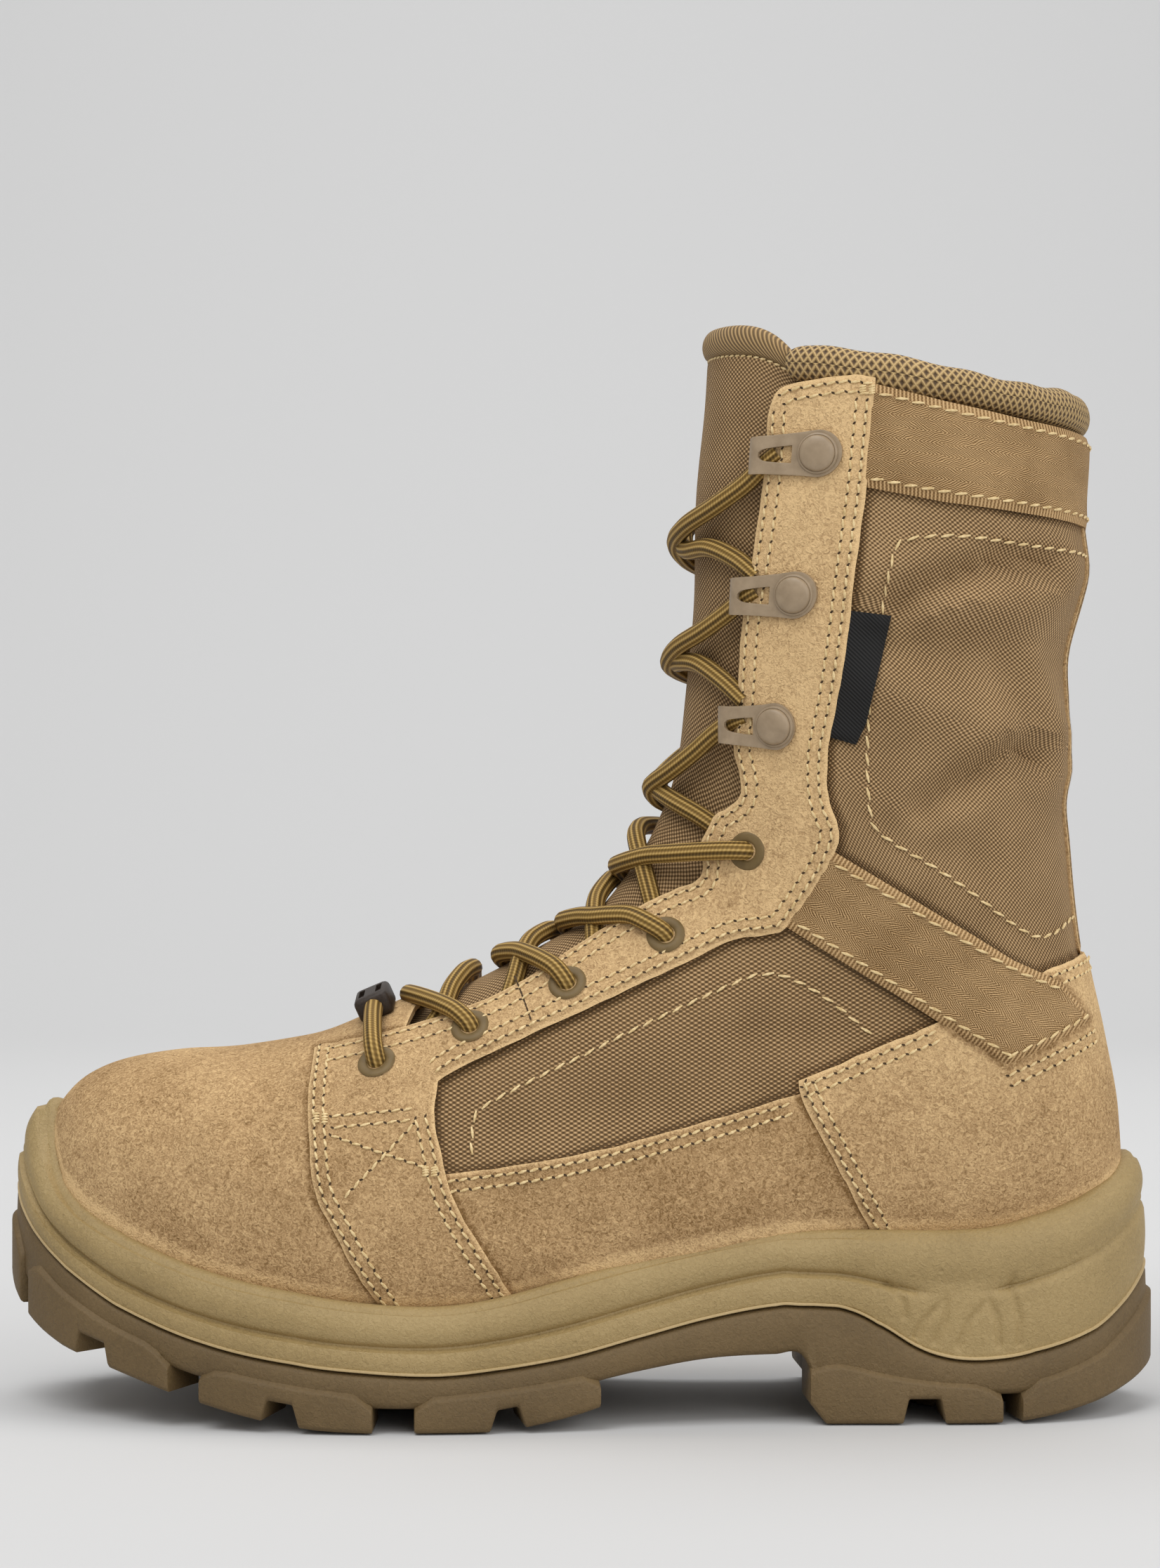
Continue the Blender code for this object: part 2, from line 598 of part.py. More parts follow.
hole_points, hole_faces = [], []
for side, label_word in ((1, "outer"), (-1, "inner")):
    for number, fitting in enumerate(EYELETS, 1):
        row, angle = fitting.row, fitting.angle * side
        rings = [round_ring(row, angle, radius, lift, 8) for radius, lift in EYELET_SIDE]
        points = [point for ring in rings for point in ring]
        faces = [
            [i * 8 + j, i * 8 + (j + 1) % 8, (i + 1) % 5 * 8 + (j + 1) % 8, (i + 1) % 5 * 8 + j]
            for i in range(5)
            for j in range(8)
        ]
        eyelet = solid(f"eyelet_{label_word}_{number}", points, faces)
        paint(eyelet, eyelet.name + "_metal", (0.16, 0.12, 0.09), 0.45, 0.7)
        base = len(hole_points)
        hole_points += round_ring(row, angle, 3.95, -7, 8) + round_ring(row, angle, 3.95, 7, 8)
        hole_faces += [[base + j for j in range(8)], [base + 15 - j for j in range(8)]]
        hole_faces += [
            [base + j, base + (j + 1) % 8, base + 8 + (j + 1) % 8, base + 8 + j] for j in range(8)
        ]
eyelet_holes = helper(solid("eyelet_holes", hole_points, hole_faces))
combine(eyestay, "DIFFERENCE", eyelet_holes)
combine(upper, "DIFFERENCE", eyelet_holes)

# Hooks: slotted plates held by a stud, with a nose that curls over the lace
HOOK_UNDER = [(-5.5, 2.3), (6, 2.3), (13.5, 2.9), (17, 4.0), (19.6, 3.6), (20.4, 1.8)]
HOOK_OVER = [(-5.5, 3.4), (6, 3.4), (13.3, 4.0), (17, 5.2), (20.4, 4.5), (21.5, 1.9)]
HOOK_ACROSS = (-4.8, -1.9, 1.9, 4.8)
for side, label_word in ((1, "outer"), (-1, "inner")):
    for number, fitting in enumerate(HOOKS, 1):
        row = fitting.row
        per_degree = (skin(row, fitting.angle, 2) - skin(row, fitting.angle - 1, 2)).length
        fall = skin(row, fitting.angle + 1, 2).z - skin(row, fitting.angle - 1, 2).z
        climb = skin(row + 0.1, fitting.angle, 2).z - skin(row - 0.1, fitting.angle, 2).z

        def hook_grid(line):
            """Points of a level plate: its row drops towards the front as the last rises."""
            grid = []
            for along, lift in line:
                turn = along / per_degree
                level, angle = row + 0.1 * turn * fall / climb, side * (fitting.angle - turn)
                upward = (skin(level + 0.1, angle, 0) - skin(level - 0.1, angle, 0)).normalized()
                grid.append([skin(level, angle, lift) + upward * wide for wide in HOOK_ACROSS])
            return grid

        hook = sheet(f"hook_{label_word}_{number}", hook_grid(HOOK_UNDER), hook_grid(HOOK_OVER),
                     missing={(1, 1)})
        stud = [
            round_ring(row, side * fitting.angle, radius, lift, 8)
            for radius, lift in ((4.2, 2.9), (3.6, 4.7))
        ]
        combine(hook, "UNION", helper(tube(f"stud_{label_word}_{number}", stud)))
        paint(hook, hook.name + "_metal", (0.16, 0.12, 0.09), 0.45, 0.7)


def cord(name, path, radius=LACE_RADIUS):
    """A lace run through points given as row, angle and lift."""
    spots = [skin(*place) for place in path]
    rings = []
    for index, spot in enumerate(spots):
        ahead = spots[min(index + 1, len(spots) - 1)] - spots[max(index - 1, 0)]
        outward = last_normal(path[index][0], path[index][1])
        sideways = ahead.cross(outward).normalized()
        outward = sideways.cross(ahead).normalized()
        rings.append(
            [
                spot
                + sideways * radius * math.cos(math.pi * turn / 2.5)
                + outward * radius * math.sin(math.pi * turn / 2.5)
                for turn in range(5)
            ]
        )
    return tube(name, rings)


# Lace: a bar at the toe end, then crossings where one run lies over the other
bar = cord("lace_bar", [(7.93, angle, 4.75) for angle in (30, 20, 10, 0, -10, -20, -30)])
paint(bar, "lace_bar_braid", (0.30, 0.18, 0.09), 0.8)
Crossing = namedtuple("Crossing", "over under")
CROSSINGS = [
    Crossing(
        [
            (9.2, 28.5, 5.1), (8.95, 21, 3.6), (8.7, 12, 1.7),
            (8.45, 0, 1.4), (8.58, -11, 0.2), (8.72, -20, -0.4),
        ],
        [
            (8.8, 20, -0.3), (9.0, 12, -0.3), (9.22, 0, 0.2),
            (9.26, -11, 2.2), (9.24, -21, 4.6), (9.22, -28.5, 5.1),
        ],
    ),
    Crossing(
        [
            (10.42, 27.5, 5.1), (10.2, 18, 3.4), (9.95, 9, 1.7),
            (9.75, 0, 1.4), (9.86, -10, 0.2), (9.96, -20, -0.4),
        ],
        [
            (10.0, 21, -0.4), (10.15, 11, -0.5), (10.33, 0, 0.4),
            (10.42, -10, 2.6), (10.45, -20, 4.6), (10.45, -27.5, 5.1),
        ],
    ),
    Crossing(
        [
            (12.1, 33.5, 5.1), (11.6, 22, 4.0), (11.0, 10, 2.0),
            (10.68, 0, 1.6), (10.78, -9, 0.2), (10.84, -15, -0.4),
        ],
        [
            (10.92, 15, -0.4), (11.2, 9, -0.5), (11.65, 0, 0.2),
            (11.9, -12, 2.4), (12.1, -24, 4.6), (12.15, -33.5, 5.1),
        ],
    ),
    Crossing(
        [
            (14.75, 38.5, 5.1), (14.0, 31, 4.9), (13.3, 21, 3.6), (12.6, 10, 1.9),
            (12.25, 0, 1.6), (12.28, -10, 0.2), (12.32, -20, -0.4),
        ],
        [
            (12.35, 25, -0.4), (12.5, 14, -0.5), (12.88, 0, 0.2), (13.3, -12, 2.4),
            (13.7, -22, 4.2), (14.2, -32, 5.0), (14.75, -38.5, 5.1),
        ],
    ),
    Crossing(
        [
            (17.5, 34.5, 0.4), (16.9, 28, 1.0), (15.8, 17, 1.6), (14.9, 6, 1.8),
            (14.65, 0, 1.6), (14.6, -10, 0.2), (14.8, -21, -0.5), (15.0, -28, -0.4),
        ],
        [
            (15.0, 28, -0.4), (14.8, 18, -0.5), (14.7, 8, -0.5), (14.75, 0, -0.3),
            (15.2, -8, 0.8), (16.2, -20, 1.4), (17.0, -29, 1.0), (17.5, -34.5, 0.4),
        ],
    ),
    Crossing(
        [
            (19.72, 38, 0.4), (19.4, 30, 1.0), (18.9, 15, 1.6), (18.55, 0, 1.8),
            (18.6, -12, 0.4), (18.8, -25, -0.5), (19.02, -33, -0.3),
        ],
        [
            (19.02, 33, -0.3), (18.8, 25, -0.5), (18.6, 12, -0.5), (18.55, 0, -0.3),
            (18.9, -15, 1.0), (19.4, -30, 1.0), (19.72, -38, 0.4),
        ],
    ),
    Crossing(
        [
            (21.5, 45, 0.6), (21.2, 32, 1.0), (20.85, 15, 1.6), (20.63, 0, 2.0),
            (20.55, -12, 0.4), (20.6, -28, -0.5), (20.74, -38, -0.3),
        ],
        [
            (20.74, 38, -0.3), (20.6, 28, -0.5), (20.5, 12, -0.6), (20.57, 0, -0.5),
            (20.88, -15, 0.9), (21.2, -32, 1.0), (21.5, -45, 0.6),
        ],
    ),
]
for number, crossing in enumerate(CROSSINGS, 1):
    lace = cord(f"lace_cross_{number}", crossing.over)
    combine(lace, "UNION", helper(cord(f"lace_under_{number}", crossing.under)))
    paint(lace, lace.name + "_braid", (0.30, 0.18, 0.09), 0.8)

# Keeper: a small saddle over the first bar
middle, outward = skin(7.93, 0, 5.15), last_normal(7.93, 0)
ahead = Vector((outward.z, 0, -outward.x))
KEEPER_RING = [
    (-4.4, -2.6), (-3.6, -3.0), (3.6, -3.0), (4.4, -2.6), (4.4, 2.2), (3.6, 3.2), (-3.6, 3.2),
    (-4.4, 2.2),
]
keeper_rings = []
for wide, size in ((-6.0, 0.86), (-5.2, 1.0), (5.2, 1.0), (6.0, 0.86)):
    keeper_rings.append(
        [
            middle + Vector((0, wide, 0)) + ahead * u * size + outward * v * size
            for u, v in KEEPER_RING
        ]
    )
keeper = tube("lace_keeper", keeper_rings)
bore = cord("keeper_bore", [(7.93, angle, 4.3) for angle in (20, 10, 0, -10, -20)], 3.25)
combine(keeper, "DIFFERENCE", helper(bore))
paint(keeper, "dark_plastic", (0.03, 0.03, 0.03), 0.5)
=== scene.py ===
"""The looks of a left tactical boot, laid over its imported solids.

The sections follow the boot as it is put together: the lasted upper, its suede and webbing, the
padding, the sewing, the fittings, the lace and the sole. Tables are in millimetres, with the toe
at -X, the outer side of the foot at -Y and the floor at Z = 0. Meshes are in metres.
"""

import math

import bpy
import numpy as np
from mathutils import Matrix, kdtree
from mathutils.bvhtree import BVHTree


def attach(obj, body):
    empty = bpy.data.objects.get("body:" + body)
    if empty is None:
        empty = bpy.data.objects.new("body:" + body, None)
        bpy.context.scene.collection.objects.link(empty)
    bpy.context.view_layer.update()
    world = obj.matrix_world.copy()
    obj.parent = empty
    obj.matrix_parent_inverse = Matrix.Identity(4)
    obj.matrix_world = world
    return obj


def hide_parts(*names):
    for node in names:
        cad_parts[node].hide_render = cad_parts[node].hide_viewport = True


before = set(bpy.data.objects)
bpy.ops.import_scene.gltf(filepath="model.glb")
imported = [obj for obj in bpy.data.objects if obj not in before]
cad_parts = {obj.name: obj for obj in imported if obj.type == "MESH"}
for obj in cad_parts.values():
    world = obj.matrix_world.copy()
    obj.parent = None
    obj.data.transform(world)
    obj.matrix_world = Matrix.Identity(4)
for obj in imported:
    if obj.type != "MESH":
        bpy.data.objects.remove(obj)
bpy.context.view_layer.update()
bpy.ops.object.select_all(action="DESELECT")

# Camera: level with the middle of the picture, a metre from the boot's middle plane and square to
# its outer side, with a lens that takes in the whole sheet of paper behind it.
bpy.ops.object.camera_add(location=(-0.0005, -1.0, 0.1643), rotation=(math.radians(90), 0, 0))
camera = bpy.context.object
camera.data.sensor_width = 36
camera.data.lens = 85.75
bpy.context.scene.camera = camera

# Studio: pale grey paper that runs along the floor and curves up behind the boot, under a large
# soft lamp overhead, weaker ones from the front and the heel, and one on the paper. The room's own
# light is an even grey.
PAPER_FLAT, PAPER_CURVE, PAPER_FRONT, PAPER_DROP = 4.0, 1.4, 2.6, 0.0004
bpy.ops.mesh.primitive_grid_add(x_subdivisions=2, y_subdivisions=80, size=2)
backdrop = bpy.context.object
backdrop.name = "backdrop"
for corner in backdrop.data.vertices:
    run = (corner.co.y + 1) * 3.5
    bend = min(max((run - PAPER_FLAT) / PAPER_CURVE, 0.0), math.pi / 2)
    rise = max(run - PAPER_FLAT - PAPER_CURVE * math.pi / 2, 0.0)
    corner.co = (
        corner.co.x * 5,
        min(run, PAPER_FLAT) - PAPER_FRONT + PAPER_CURVE * math.sin(bend),
        PAPER_CURVE * (1 - math.cos(bend)) + rise - PAPER_DROP,
    )
bpy.ops.object.shade_smooth()
paper = bpy.data.materials.new("grey_paper")
paper.use_nodes = True
paper.node_tree.nodes["Principled BSDF"].inputs["Base Color"].default_value = (0.57, 0.57, 0.57, 1)
paper.node_tree.nodes["Principled BSDF"].inputs["Roughness"].default_value = 0.95
backdrop.data.materials.append(paper)
for place, turn, size, power in (
    ((-0.55, -0.8, 1.7), (28, -17, 0), 1.1, 16.0),
    ((0.7, -1.7, 0.9), (66, 0, 24), 1.2, 9.5),
    ((1.4, -0.5, 0.9), (63, 0, 70), 1.2, 8.0),
    ((0.0, 0.7, 2.1), (46, 0, 0), 1.6, 30.0),
):
    bpy.ops.object.light_add(
        type="AREA", location=place, rotation=[math.radians(part) for part in turn]
    )
    lamp = bpy.context.object.data
    lamp.size = size
    lamp.energy = power
room = bpy.data.worlds.new("room")
room.use_nodes = True
room.node_tree.nodes["Background"].inputs["Color"].default_value = (0.8, 0.8, 0.8, 1)
room.node_tree.nodes["Background"].inputs["Strength"].default_value = 0.62
bpy.context.scene.world = room
bpy.context.scene.view_settings.view_transform = "Standard"

# Upper: one wall of basket-woven nylon drawn over the last and lined with cloth. It is open at the
# collar and along the throat. Creases at the ankle and the bend of the foot go through every layer.
# Columns: front x, front z, back x, back z, centre, half width, widest, front power, back power.
SECTIONS = np.array(
    [
        (-141.3, 66.0, -141.3, 66.0, 5.5, 0.0, 0.62, 2.1, 2.6),
        (-140.3, 75.0, -140.3, 56.0, 5.5, 8.0, 0.60, 2.1, 2.6),
        (-137.3, 80.5, -137.3, 48.5, 5.5, 16.5, 0.60, 2.1, 2.8),
        (-131.5, 85.6, -131.5, 41.5, 5.5, 25.0, 0.60, 2.1, 3.0),
        (-122.0, 89.4, -122.0, 35.0, 5.5, 33.2, 0.61, 2.1, 3.2),
        (-107.0, 91.9, -107.0, 28.5, 5.0, 40.5, 0.63, 2.1, 3.2),
        (-89.0, 93.2, -89.0, 24.5, 3.5, 45.3, 0.65, 2.1, 3.2),
        (-70.0, 96.6, -70.0, 22.3, 1.5, 47.3, 0.67, 2.05, 3.2),
        (-52.0, 104.0, -52.0, 22.0, -0.7, 47.0, 0.69, 2.0, 3.2),
        (-34.0, 111.5, -30.0, 23.0, -3.0, 44.5, 0.70, 1.95, 3.1),
        (-14.0, 121.0, -4.0, 26.0, -4.5, 41.5, 0.70, 1.9, 3.0),
        (2.0, 130.5, 28.0, 30.0, -4.5, 39.0, 0.68, 1.9, 2.9),
        (10.5, 141.0, 62.0, 34.5, -2.5, 37.0, 0.64, 1.9, 2.8),
        (15.5, 150.0, 98.0, 37.5, -1.3, 35.0, 0.60, 1.9, 2.7),
        (18.5, 157.5, 125.0, 41.0, -0.8, 34.5, 0.57, 1.9, 2.5),
        (21.0, 165.0, 139.5, 55.0, -0.5, 35.0, 0.55, 1.9, 2.35),
        (22.8, 172.0, 140.5, 76.0, -0.5, 36.0, 0.54, 1.9, 2.3),
        (24.0, 180.0, 137.0, 97.0, -0.5, 37.0, 0.53, 1.9, 2.25),
        (24.9, 190.0, 132.0, 121.0, -0.5, 38.0, 0.53, 1.9, 2.2),
        (25.6, 203.0, 129.0, 150.0, -0.5, 39.5, 0.53, 1.95, 2.2),
        (26.5, 218.0, 128.5, 180.0, -0.5, 41.5, 0.53, 1.95, 2.2),
        (27.6, 236.0, 131.5, 210.0, -0.5, 43.0, 0.53, 2.0, 2.2),
        (28.8, 256.0, 133.3, 238.0, -0.5, 43.5, 0.53, 2.0, 2.2),
        (30.3, 280.0, 133.5, 264.0, -0.5, 43.5, 0.53, 2.0, 2.2),
        (32.0, 304.0, 133.5, 290.0, -0.5, 43.5, 0.53, 2.0, 2.2),
    ]
)
COLLAR_ROW = 22.66
WALL = 2.4
# Columns: side (1 outer, -1 inner, 0 both), the line's x and z in side view, width, depth.
CREASES = [
    (1, [(81, 211.5), (95.9, 217.4), (108.5, 221.3), (121, 220.6)], 3.6, -3.2),
    (1, [(88, 158.5), (101.3, 166.3), (110.3, 171.7), (119, 171.9)], 3.8, -3.2),
    (1, [(79, 204), (95, 198), (112, 191)], 8.0, -2.5),
    (1, [(117.5, 195), (123, 179)], 4.5, 2.0),
    (1, [(86, 186), (106, 181)], 8.0, 1.5),
    (1, [(90, 207), (118, 210)], 6.0, 1.5),
    (1, [(82, 152), (104, 143)], 5.0, -1.3),
    (0, [(128, 220), (136, 222)], 9.0, 1.6),
    (0, [(127, 196), (136, 197)], 8.0, -1.2),
    (0, [(126, 169), (136, 169)], 6.0, 1.1),
    (-1, [(84, 214), (104, 219), (127, 216)], 4.0, -1.6),
    (-1, [(92, 190), (108, 186), (130, 184)], 6.0, -1.3),
    (-1, [(96, 162), (112, 168), (129, 165)], 4.0, -1.5),
    (-1, [(80, 150), (110, 143)], 5.0, -1.0),
    (0, [(-24, 76), (20, 80)], 5.0, -0.7),
    (0, [(12, 96), (48, 108)], 6.0, 0.8),
    (0, [(44, 98), (66, 99)], 4.0, -0.7),
    (0, [(-80, 84), (-84, 72)], 5.0, -0.6),
    (0, [(-92, 84), (-97, 72)], 5.0, 0.4),
    (0, [(-18, 60), (2, 46)], 5.0, -0.5),
]


def row_of(table, place):
    """The table's row at fractional places, on a smooth curve through its neighbours."""
    place = np.asarray(place, float)
    index = np.clip(place.astype(int), 0, len(table) - 2)
    part = (place - index)[..., None]
    before, start = table[np.maximum(index - 1, 0)], table[index]
    stop, after = table[index + 1], table[np.minimum(index + 2, len(table) - 1)]
    rise, fall = (stop - before) / 2, (after - start) / 2
    cubic = 2 * start - 2 * stop + rise + fall
    square = 3 * stop - 3 * start - 2 * rise - fall
    return ((cubic * part + square) * part + rise) * part + start


def last_point(row, angle):
    """Points of the last: angle 0 is the front, 90 the outer side, 180 the back."""
    section = row_of(SECTIONS, row)
    front_x, front_z, back_x, back_z, centre, half, widest, power, back = np.moveaxis(section, -1, 0)
    cosine, sine = np.cos(np.radians(angle)), np.sin(np.radians(angle))
    power = np.where(cosine >= 0, power, back)
    bulge = np.abs(cosine) ** (2 / power)
    along = np.where(cosine >= 0, widest * (1 - bulge), widest + (1 - widest) * bulge)
    reach = half * np.abs(sine) ** (2 / power)
    return np.stack(
        [
            front_x + (back_x - front_x) * along,
            centre - np.sign(sine) * reach,
            front_z + (back_z - front_z) * along,
        ],
        -1,
    )


def last_normal(row, angle):
    row = np.clip(row, 0.05, 23.9)
    across = last_point(row, angle + 1) - last_point(row, angle - 1)
    onward = last_point(row + 0.02, angle) - last_point(row - 0.02, angle)
    normal = np.cross(across, onward)
    return normal / np.linalg.norm(normal, axis=-1, keepdims=True)


def line_gap(points, start, stop):
    """Each flat point's distance to a straight piece of line."""
    start, run = np.array(start, float), np.subtract(stop, start)
    share = np.clip((points - start) @ run / (run @ run), 0, 1)
    return np.linalg.norm(points - start - share[..., None] * run, axis=-1)


def softness(points):
    """How far the creases push these points in or out."""
    push = np.zeros(points.shape[:-1])
    for side, line, width, depth in CREASES:
        gap = np.min([line_gap(points[..., [0, 2]], *pair) for pair in zip(line, line[1:])], 0) / width
        wave = np.exp(-gap * gap) - 0.4 * np.exp(-((gap - 1.9) ** 2))
        facing = 1.0 if side == 0 else np.clip(-side * points[..., 1] / 12, 0, 1)
        push += depth * wave * facing
    return push


def skin(row, angle, lift):
    """Points this far outside the last, with its creases."""
    row, angle = np.asarray(row, float), np.asarray(angle, float)
    base = last_point(row, angle)
    return base + last_normal(row, angle) * (lift + softness(base))[..., None]


def grid(name, columns, rows):
    """A flat grid, with each corner's share of the way across and along."""
    bpy.ops.object.select_all(action="DESELECT")
    bpy.ops.mesh.primitive_grid_add(x_subdivisions=columns, y_subdivisions=rows, size=2)
    piece = bpy.context.object
    piece.name = piece.data.name = name
    return piece, (corners_of(piece)[:, :2] + 1) / 2


def corners_of(piece):
    spots = np.empty(len(piece.data.vertices) * 3)
    piece.data.vertices.foreach_get("co", spots)
    return spots.reshape(-1, 3)


def put(piece, points):
    """Moves a piece's corners to these points, given in millimetres."""
    piece.data.vertices.foreach_set("co", np.ascontiguousarray(points * 0.001).ravel())
    piece.data.update()


def drop_faces(piece, unwanted):
    bpy.context.tool_settings.mesh_select_mode = (False, False, True)
    piece.data.polygons.foreach_set("select", unwanted)
    bpy.ops.object.mode_set(mode="EDIT")
    bpy.ops.mesh.delete(type="FACE")
    bpy.ops.object.mode_set(mode="OBJECT")


def close_seams(gap=0.00002):
    """Joins the active piece's seams and turns its faces outwards."""
    bpy.ops.object.mode_set(mode="EDIT")
    bpy.ops.mesh.select_all(action="SELECT")
    bpy.ops.mesh.remove_doubles(threshold=gap)
    bpy.ops.mesh.normals_make_consistent(inside=False)
    bpy.ops.object.mode_set(mode="OBJECT")


def face_corners(piece):
    """The corner numbers of a piece that has only four-sided faces."""
    corners = np.empty(len(piece.data.polygons) * 4, int)
    piece.data.polygons.foreach_get("vertices", corners)
    return corners.reshape(-1, 4)


def thicken(piece, depth, rim_only):
    """Gives a sheet its thickness inwards, or only the wall at its edge."""
    wall = piece.modifiers.new("wall", "SOLIDIFY")
    wall.thickness = depth * 0.001
    wall.offset = -1
    wall.use_rim_only = rim_only
    wall.material_offset = 0 if rim_only else 1
    bpy.ops.object.modifier_apply(modifier=wall.name)


def give(piece, name, values):
    """A number for each corner, which the material reads."""
    layer = piece.data.attributes.new(name, "FLOAT", "POINT")
    layer.data.foreach_set("value", np.ascontiguousarray(values, np.float32))


def chart(piece, spots):
    """A map of the cloth in millimetres, one place for each corner of the mesh."""
    numbers = np.empty(len(piece.data.loops), int)
    piece.data.loops.foreach_get("vertex_index", numbers)
    layer = piece.data.uv_layers.get("cloth") or piece.data.uv_layers.new(name="cloth")
    layer.data.foreach_set("uv", np.ascontiguousarray(spots[numbers], np.float32).ravel())


def settle(piece, slot, *nodes):
    """Ends a piece: smooth faces, its body and the solids that it stands for. The finish given as slot is
    not used.
    """
    bpy.ops.object.select_all(action="DESELECT")
    piece.select_set(True)
    bpy.context.view_layer.objects.active = piece
    bpy.ops.object.shade_smooth_by_angle(angle=math.radians(40))
    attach(piece, "root")
    if nodes:
        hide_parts(*nodes)
    piece.select_set(False)


def feed(tree, socket, value):
    """Links another socket to this one, or sets its value."""
    if isinstance(value, bpy.types.NodeSocket):
        tree.links.new(value, socket)
    else:
        socket.default_value = value


def add_node(tree, kind, values=(), **settings):
    """A shader node with its settings and inputs."""
    made = tree.nodes.new(kind)
    for name, value in settings.items():
        setattr(made, name, value)
    for name, value in dict(values).items():
        feed(tree, made.inputs[name], value)
    return made


def sum_up(tree, operation, first, second=0.0, third=0.0):
    made = add_node(tree, "ShaderNodeMath", {0: first, 1: second, 2: third}, operation=operation)
    return made.outputs[0]


def fade(tree, value, start, stop, first, last):
    """Goes from first to last as a value goes from start to stop."""
    limits = {"Value": value, "From Min": start, "From Max": stop, "To Min": first, "To Max": last}
    return add_node(tree, "ShaderNodeMapRange", limits).outputs["Result"]


def marked(tree, name):
    """A number that the mesh holds for each corner."""
    return add_node(tree, "ShaderNodeAttribute", attribute_name=name).outputs["Fac"]


def ramp(tree, share, stops):
    """A colour ramp of (place, colour) stops."""
    made = add_node(tree, "ShaderNodeValToRGB", {"Fac": share})
    points = made.color_ramp.elements
    for number, (place, colour) in enumerate(stops):
        point = points[number] if number < 2 else points.new(place)
        point.position = place
        point.color = (*colour, 1)
    return made.outputs["Color"]


def effect(name, inputs, outputs):
    """An empty shader group, with the sockets inside it to take from and to feed."""
    group = bpy.data.node_groups.new(name, "ShaderNodeTree")
    for label, kind in inputs:
        group.interface.new_socket(label, in_out="INPUT", socket_type=kind)
    for label in outputs:
        group.interface.new_socket(label, in_out="OUTPUT", socket_type="NodeSocketFloat")
    return group, group.nodes.new("NodeGroupInput").outputs, group.nodes.new("NodeGroupOutput").inputs


def finish_of(name, colour, roughness, height=None, bump=0.3, depth=0.0004, **sockets):
    """Gives a new material's shader its colour, gloss and bumps, and returns the material."""
    material = bpy.data.materials[name]
    tree = material.node_tree
    shader = tree.nodes["Principled BSDF"]
    feed(tree, shader.inputs["Base Color"], colour)
    feed(tree, shader.inputs["Roughness"], roughness)
    if height is not None:
        relief = add_node(
            tree, "ShaderNodeBump", {"Height": height, "Strength": bump, "Distance": depth}
        )
        tree.links.new(relief.outputs["Normal"], shader.inputs["Normal"])
    for label, value in sockets.items():
        shader.inputs[label.replace("_", " ")].default_value = value
    return material


def new_material(name):
    """The node tree of a new material."""
    material = bpy.data.materials.new(name)
    material.use_nodes = True
    return material.node_tree


def place_of(tree, chart_name=None):
    """The piece's own coordinates, or a map of its cloth."""
    if chart_name:
        return add_node(tree, "ShaderNodeUVMap", uv_map=chart_name).outputs["UV"]
    return add_node(tree, "ShaderNodeTexCoord").outputs["Object"]


def use(tree, group, values):
    """Places an effect in a material."""
    return add_node(tree, "ShaderNodeGroup", values, node_tree=group).outputs


# Mottle: the slow change of tone that every dyed cloth and hide on the boot has.
mottle, taken, given = effect(
    "mottle", [("Place", "NodeSocketVector"), ("Size", "NodeSocketFloat")], ["Tone"]
)
cloud = add_node(
    mottle,
    "ShaderNodeTexNoise",
    {"Vector": taken["Place"], "Scale": taken["Size"], "Detail": 4.0, "Roughness": 0.6},
)
mottle.links.new(cloud.outputs["Fac"], given["Tone"])

# Plain weave: pale ovals where a cross thread lies on top, in staggered rows, with dark gaps between.
weave, taken, given = effect(
    "plain_weave", [("Cloth", "NodeSocketVector"), ("Thread", "NodeSocketFloat")], ["Height"]
)
drift = add_node(weave, "ShaderNodeTexNoise", {"Vector": taken["Cloth"], "Scale": 0.22, "Detail": 2.0})
drift = add_node(
    weave, "ShaderNodeVectorMath", {0: drift.outputs["Color"], "Scale": 0.45}, operation="SCALE"
)
drift = add_node(
    weave, "ShaderNodeVectorMath", {0: taken["Cloth"], 1: drift.outputs["Vector"]}, operation="ADD"
)
apart = add_node(weave, "ShaderNodeSeparateXYZ", {0: drift.outputs["Vector"]})
waves = []
for axis, pace in (("X", math.pi), ("Y", math.pi * 1.25)):
    phase = sum_up(weave, "MULTIPLY", apart.outputs[axis], pace)
    waves.append(sum_up(weave, "SINE", sum_up(weave, "DIVIDE", phase, taken["Thread"])))
checks = sum_up(weave, "MULTIPLY", *waves)
weave.links.new(sum_up(weave, "MULTIPLY_ADD", checks, 0.72, 0.5), given["Height"])

NYLON_TONES = [(0.02, (0.088, 0.05, 0.019)), (0.45, (0.215, 0.126, 0.051)), (1.0, (0.54, 0.36, 0.186))]
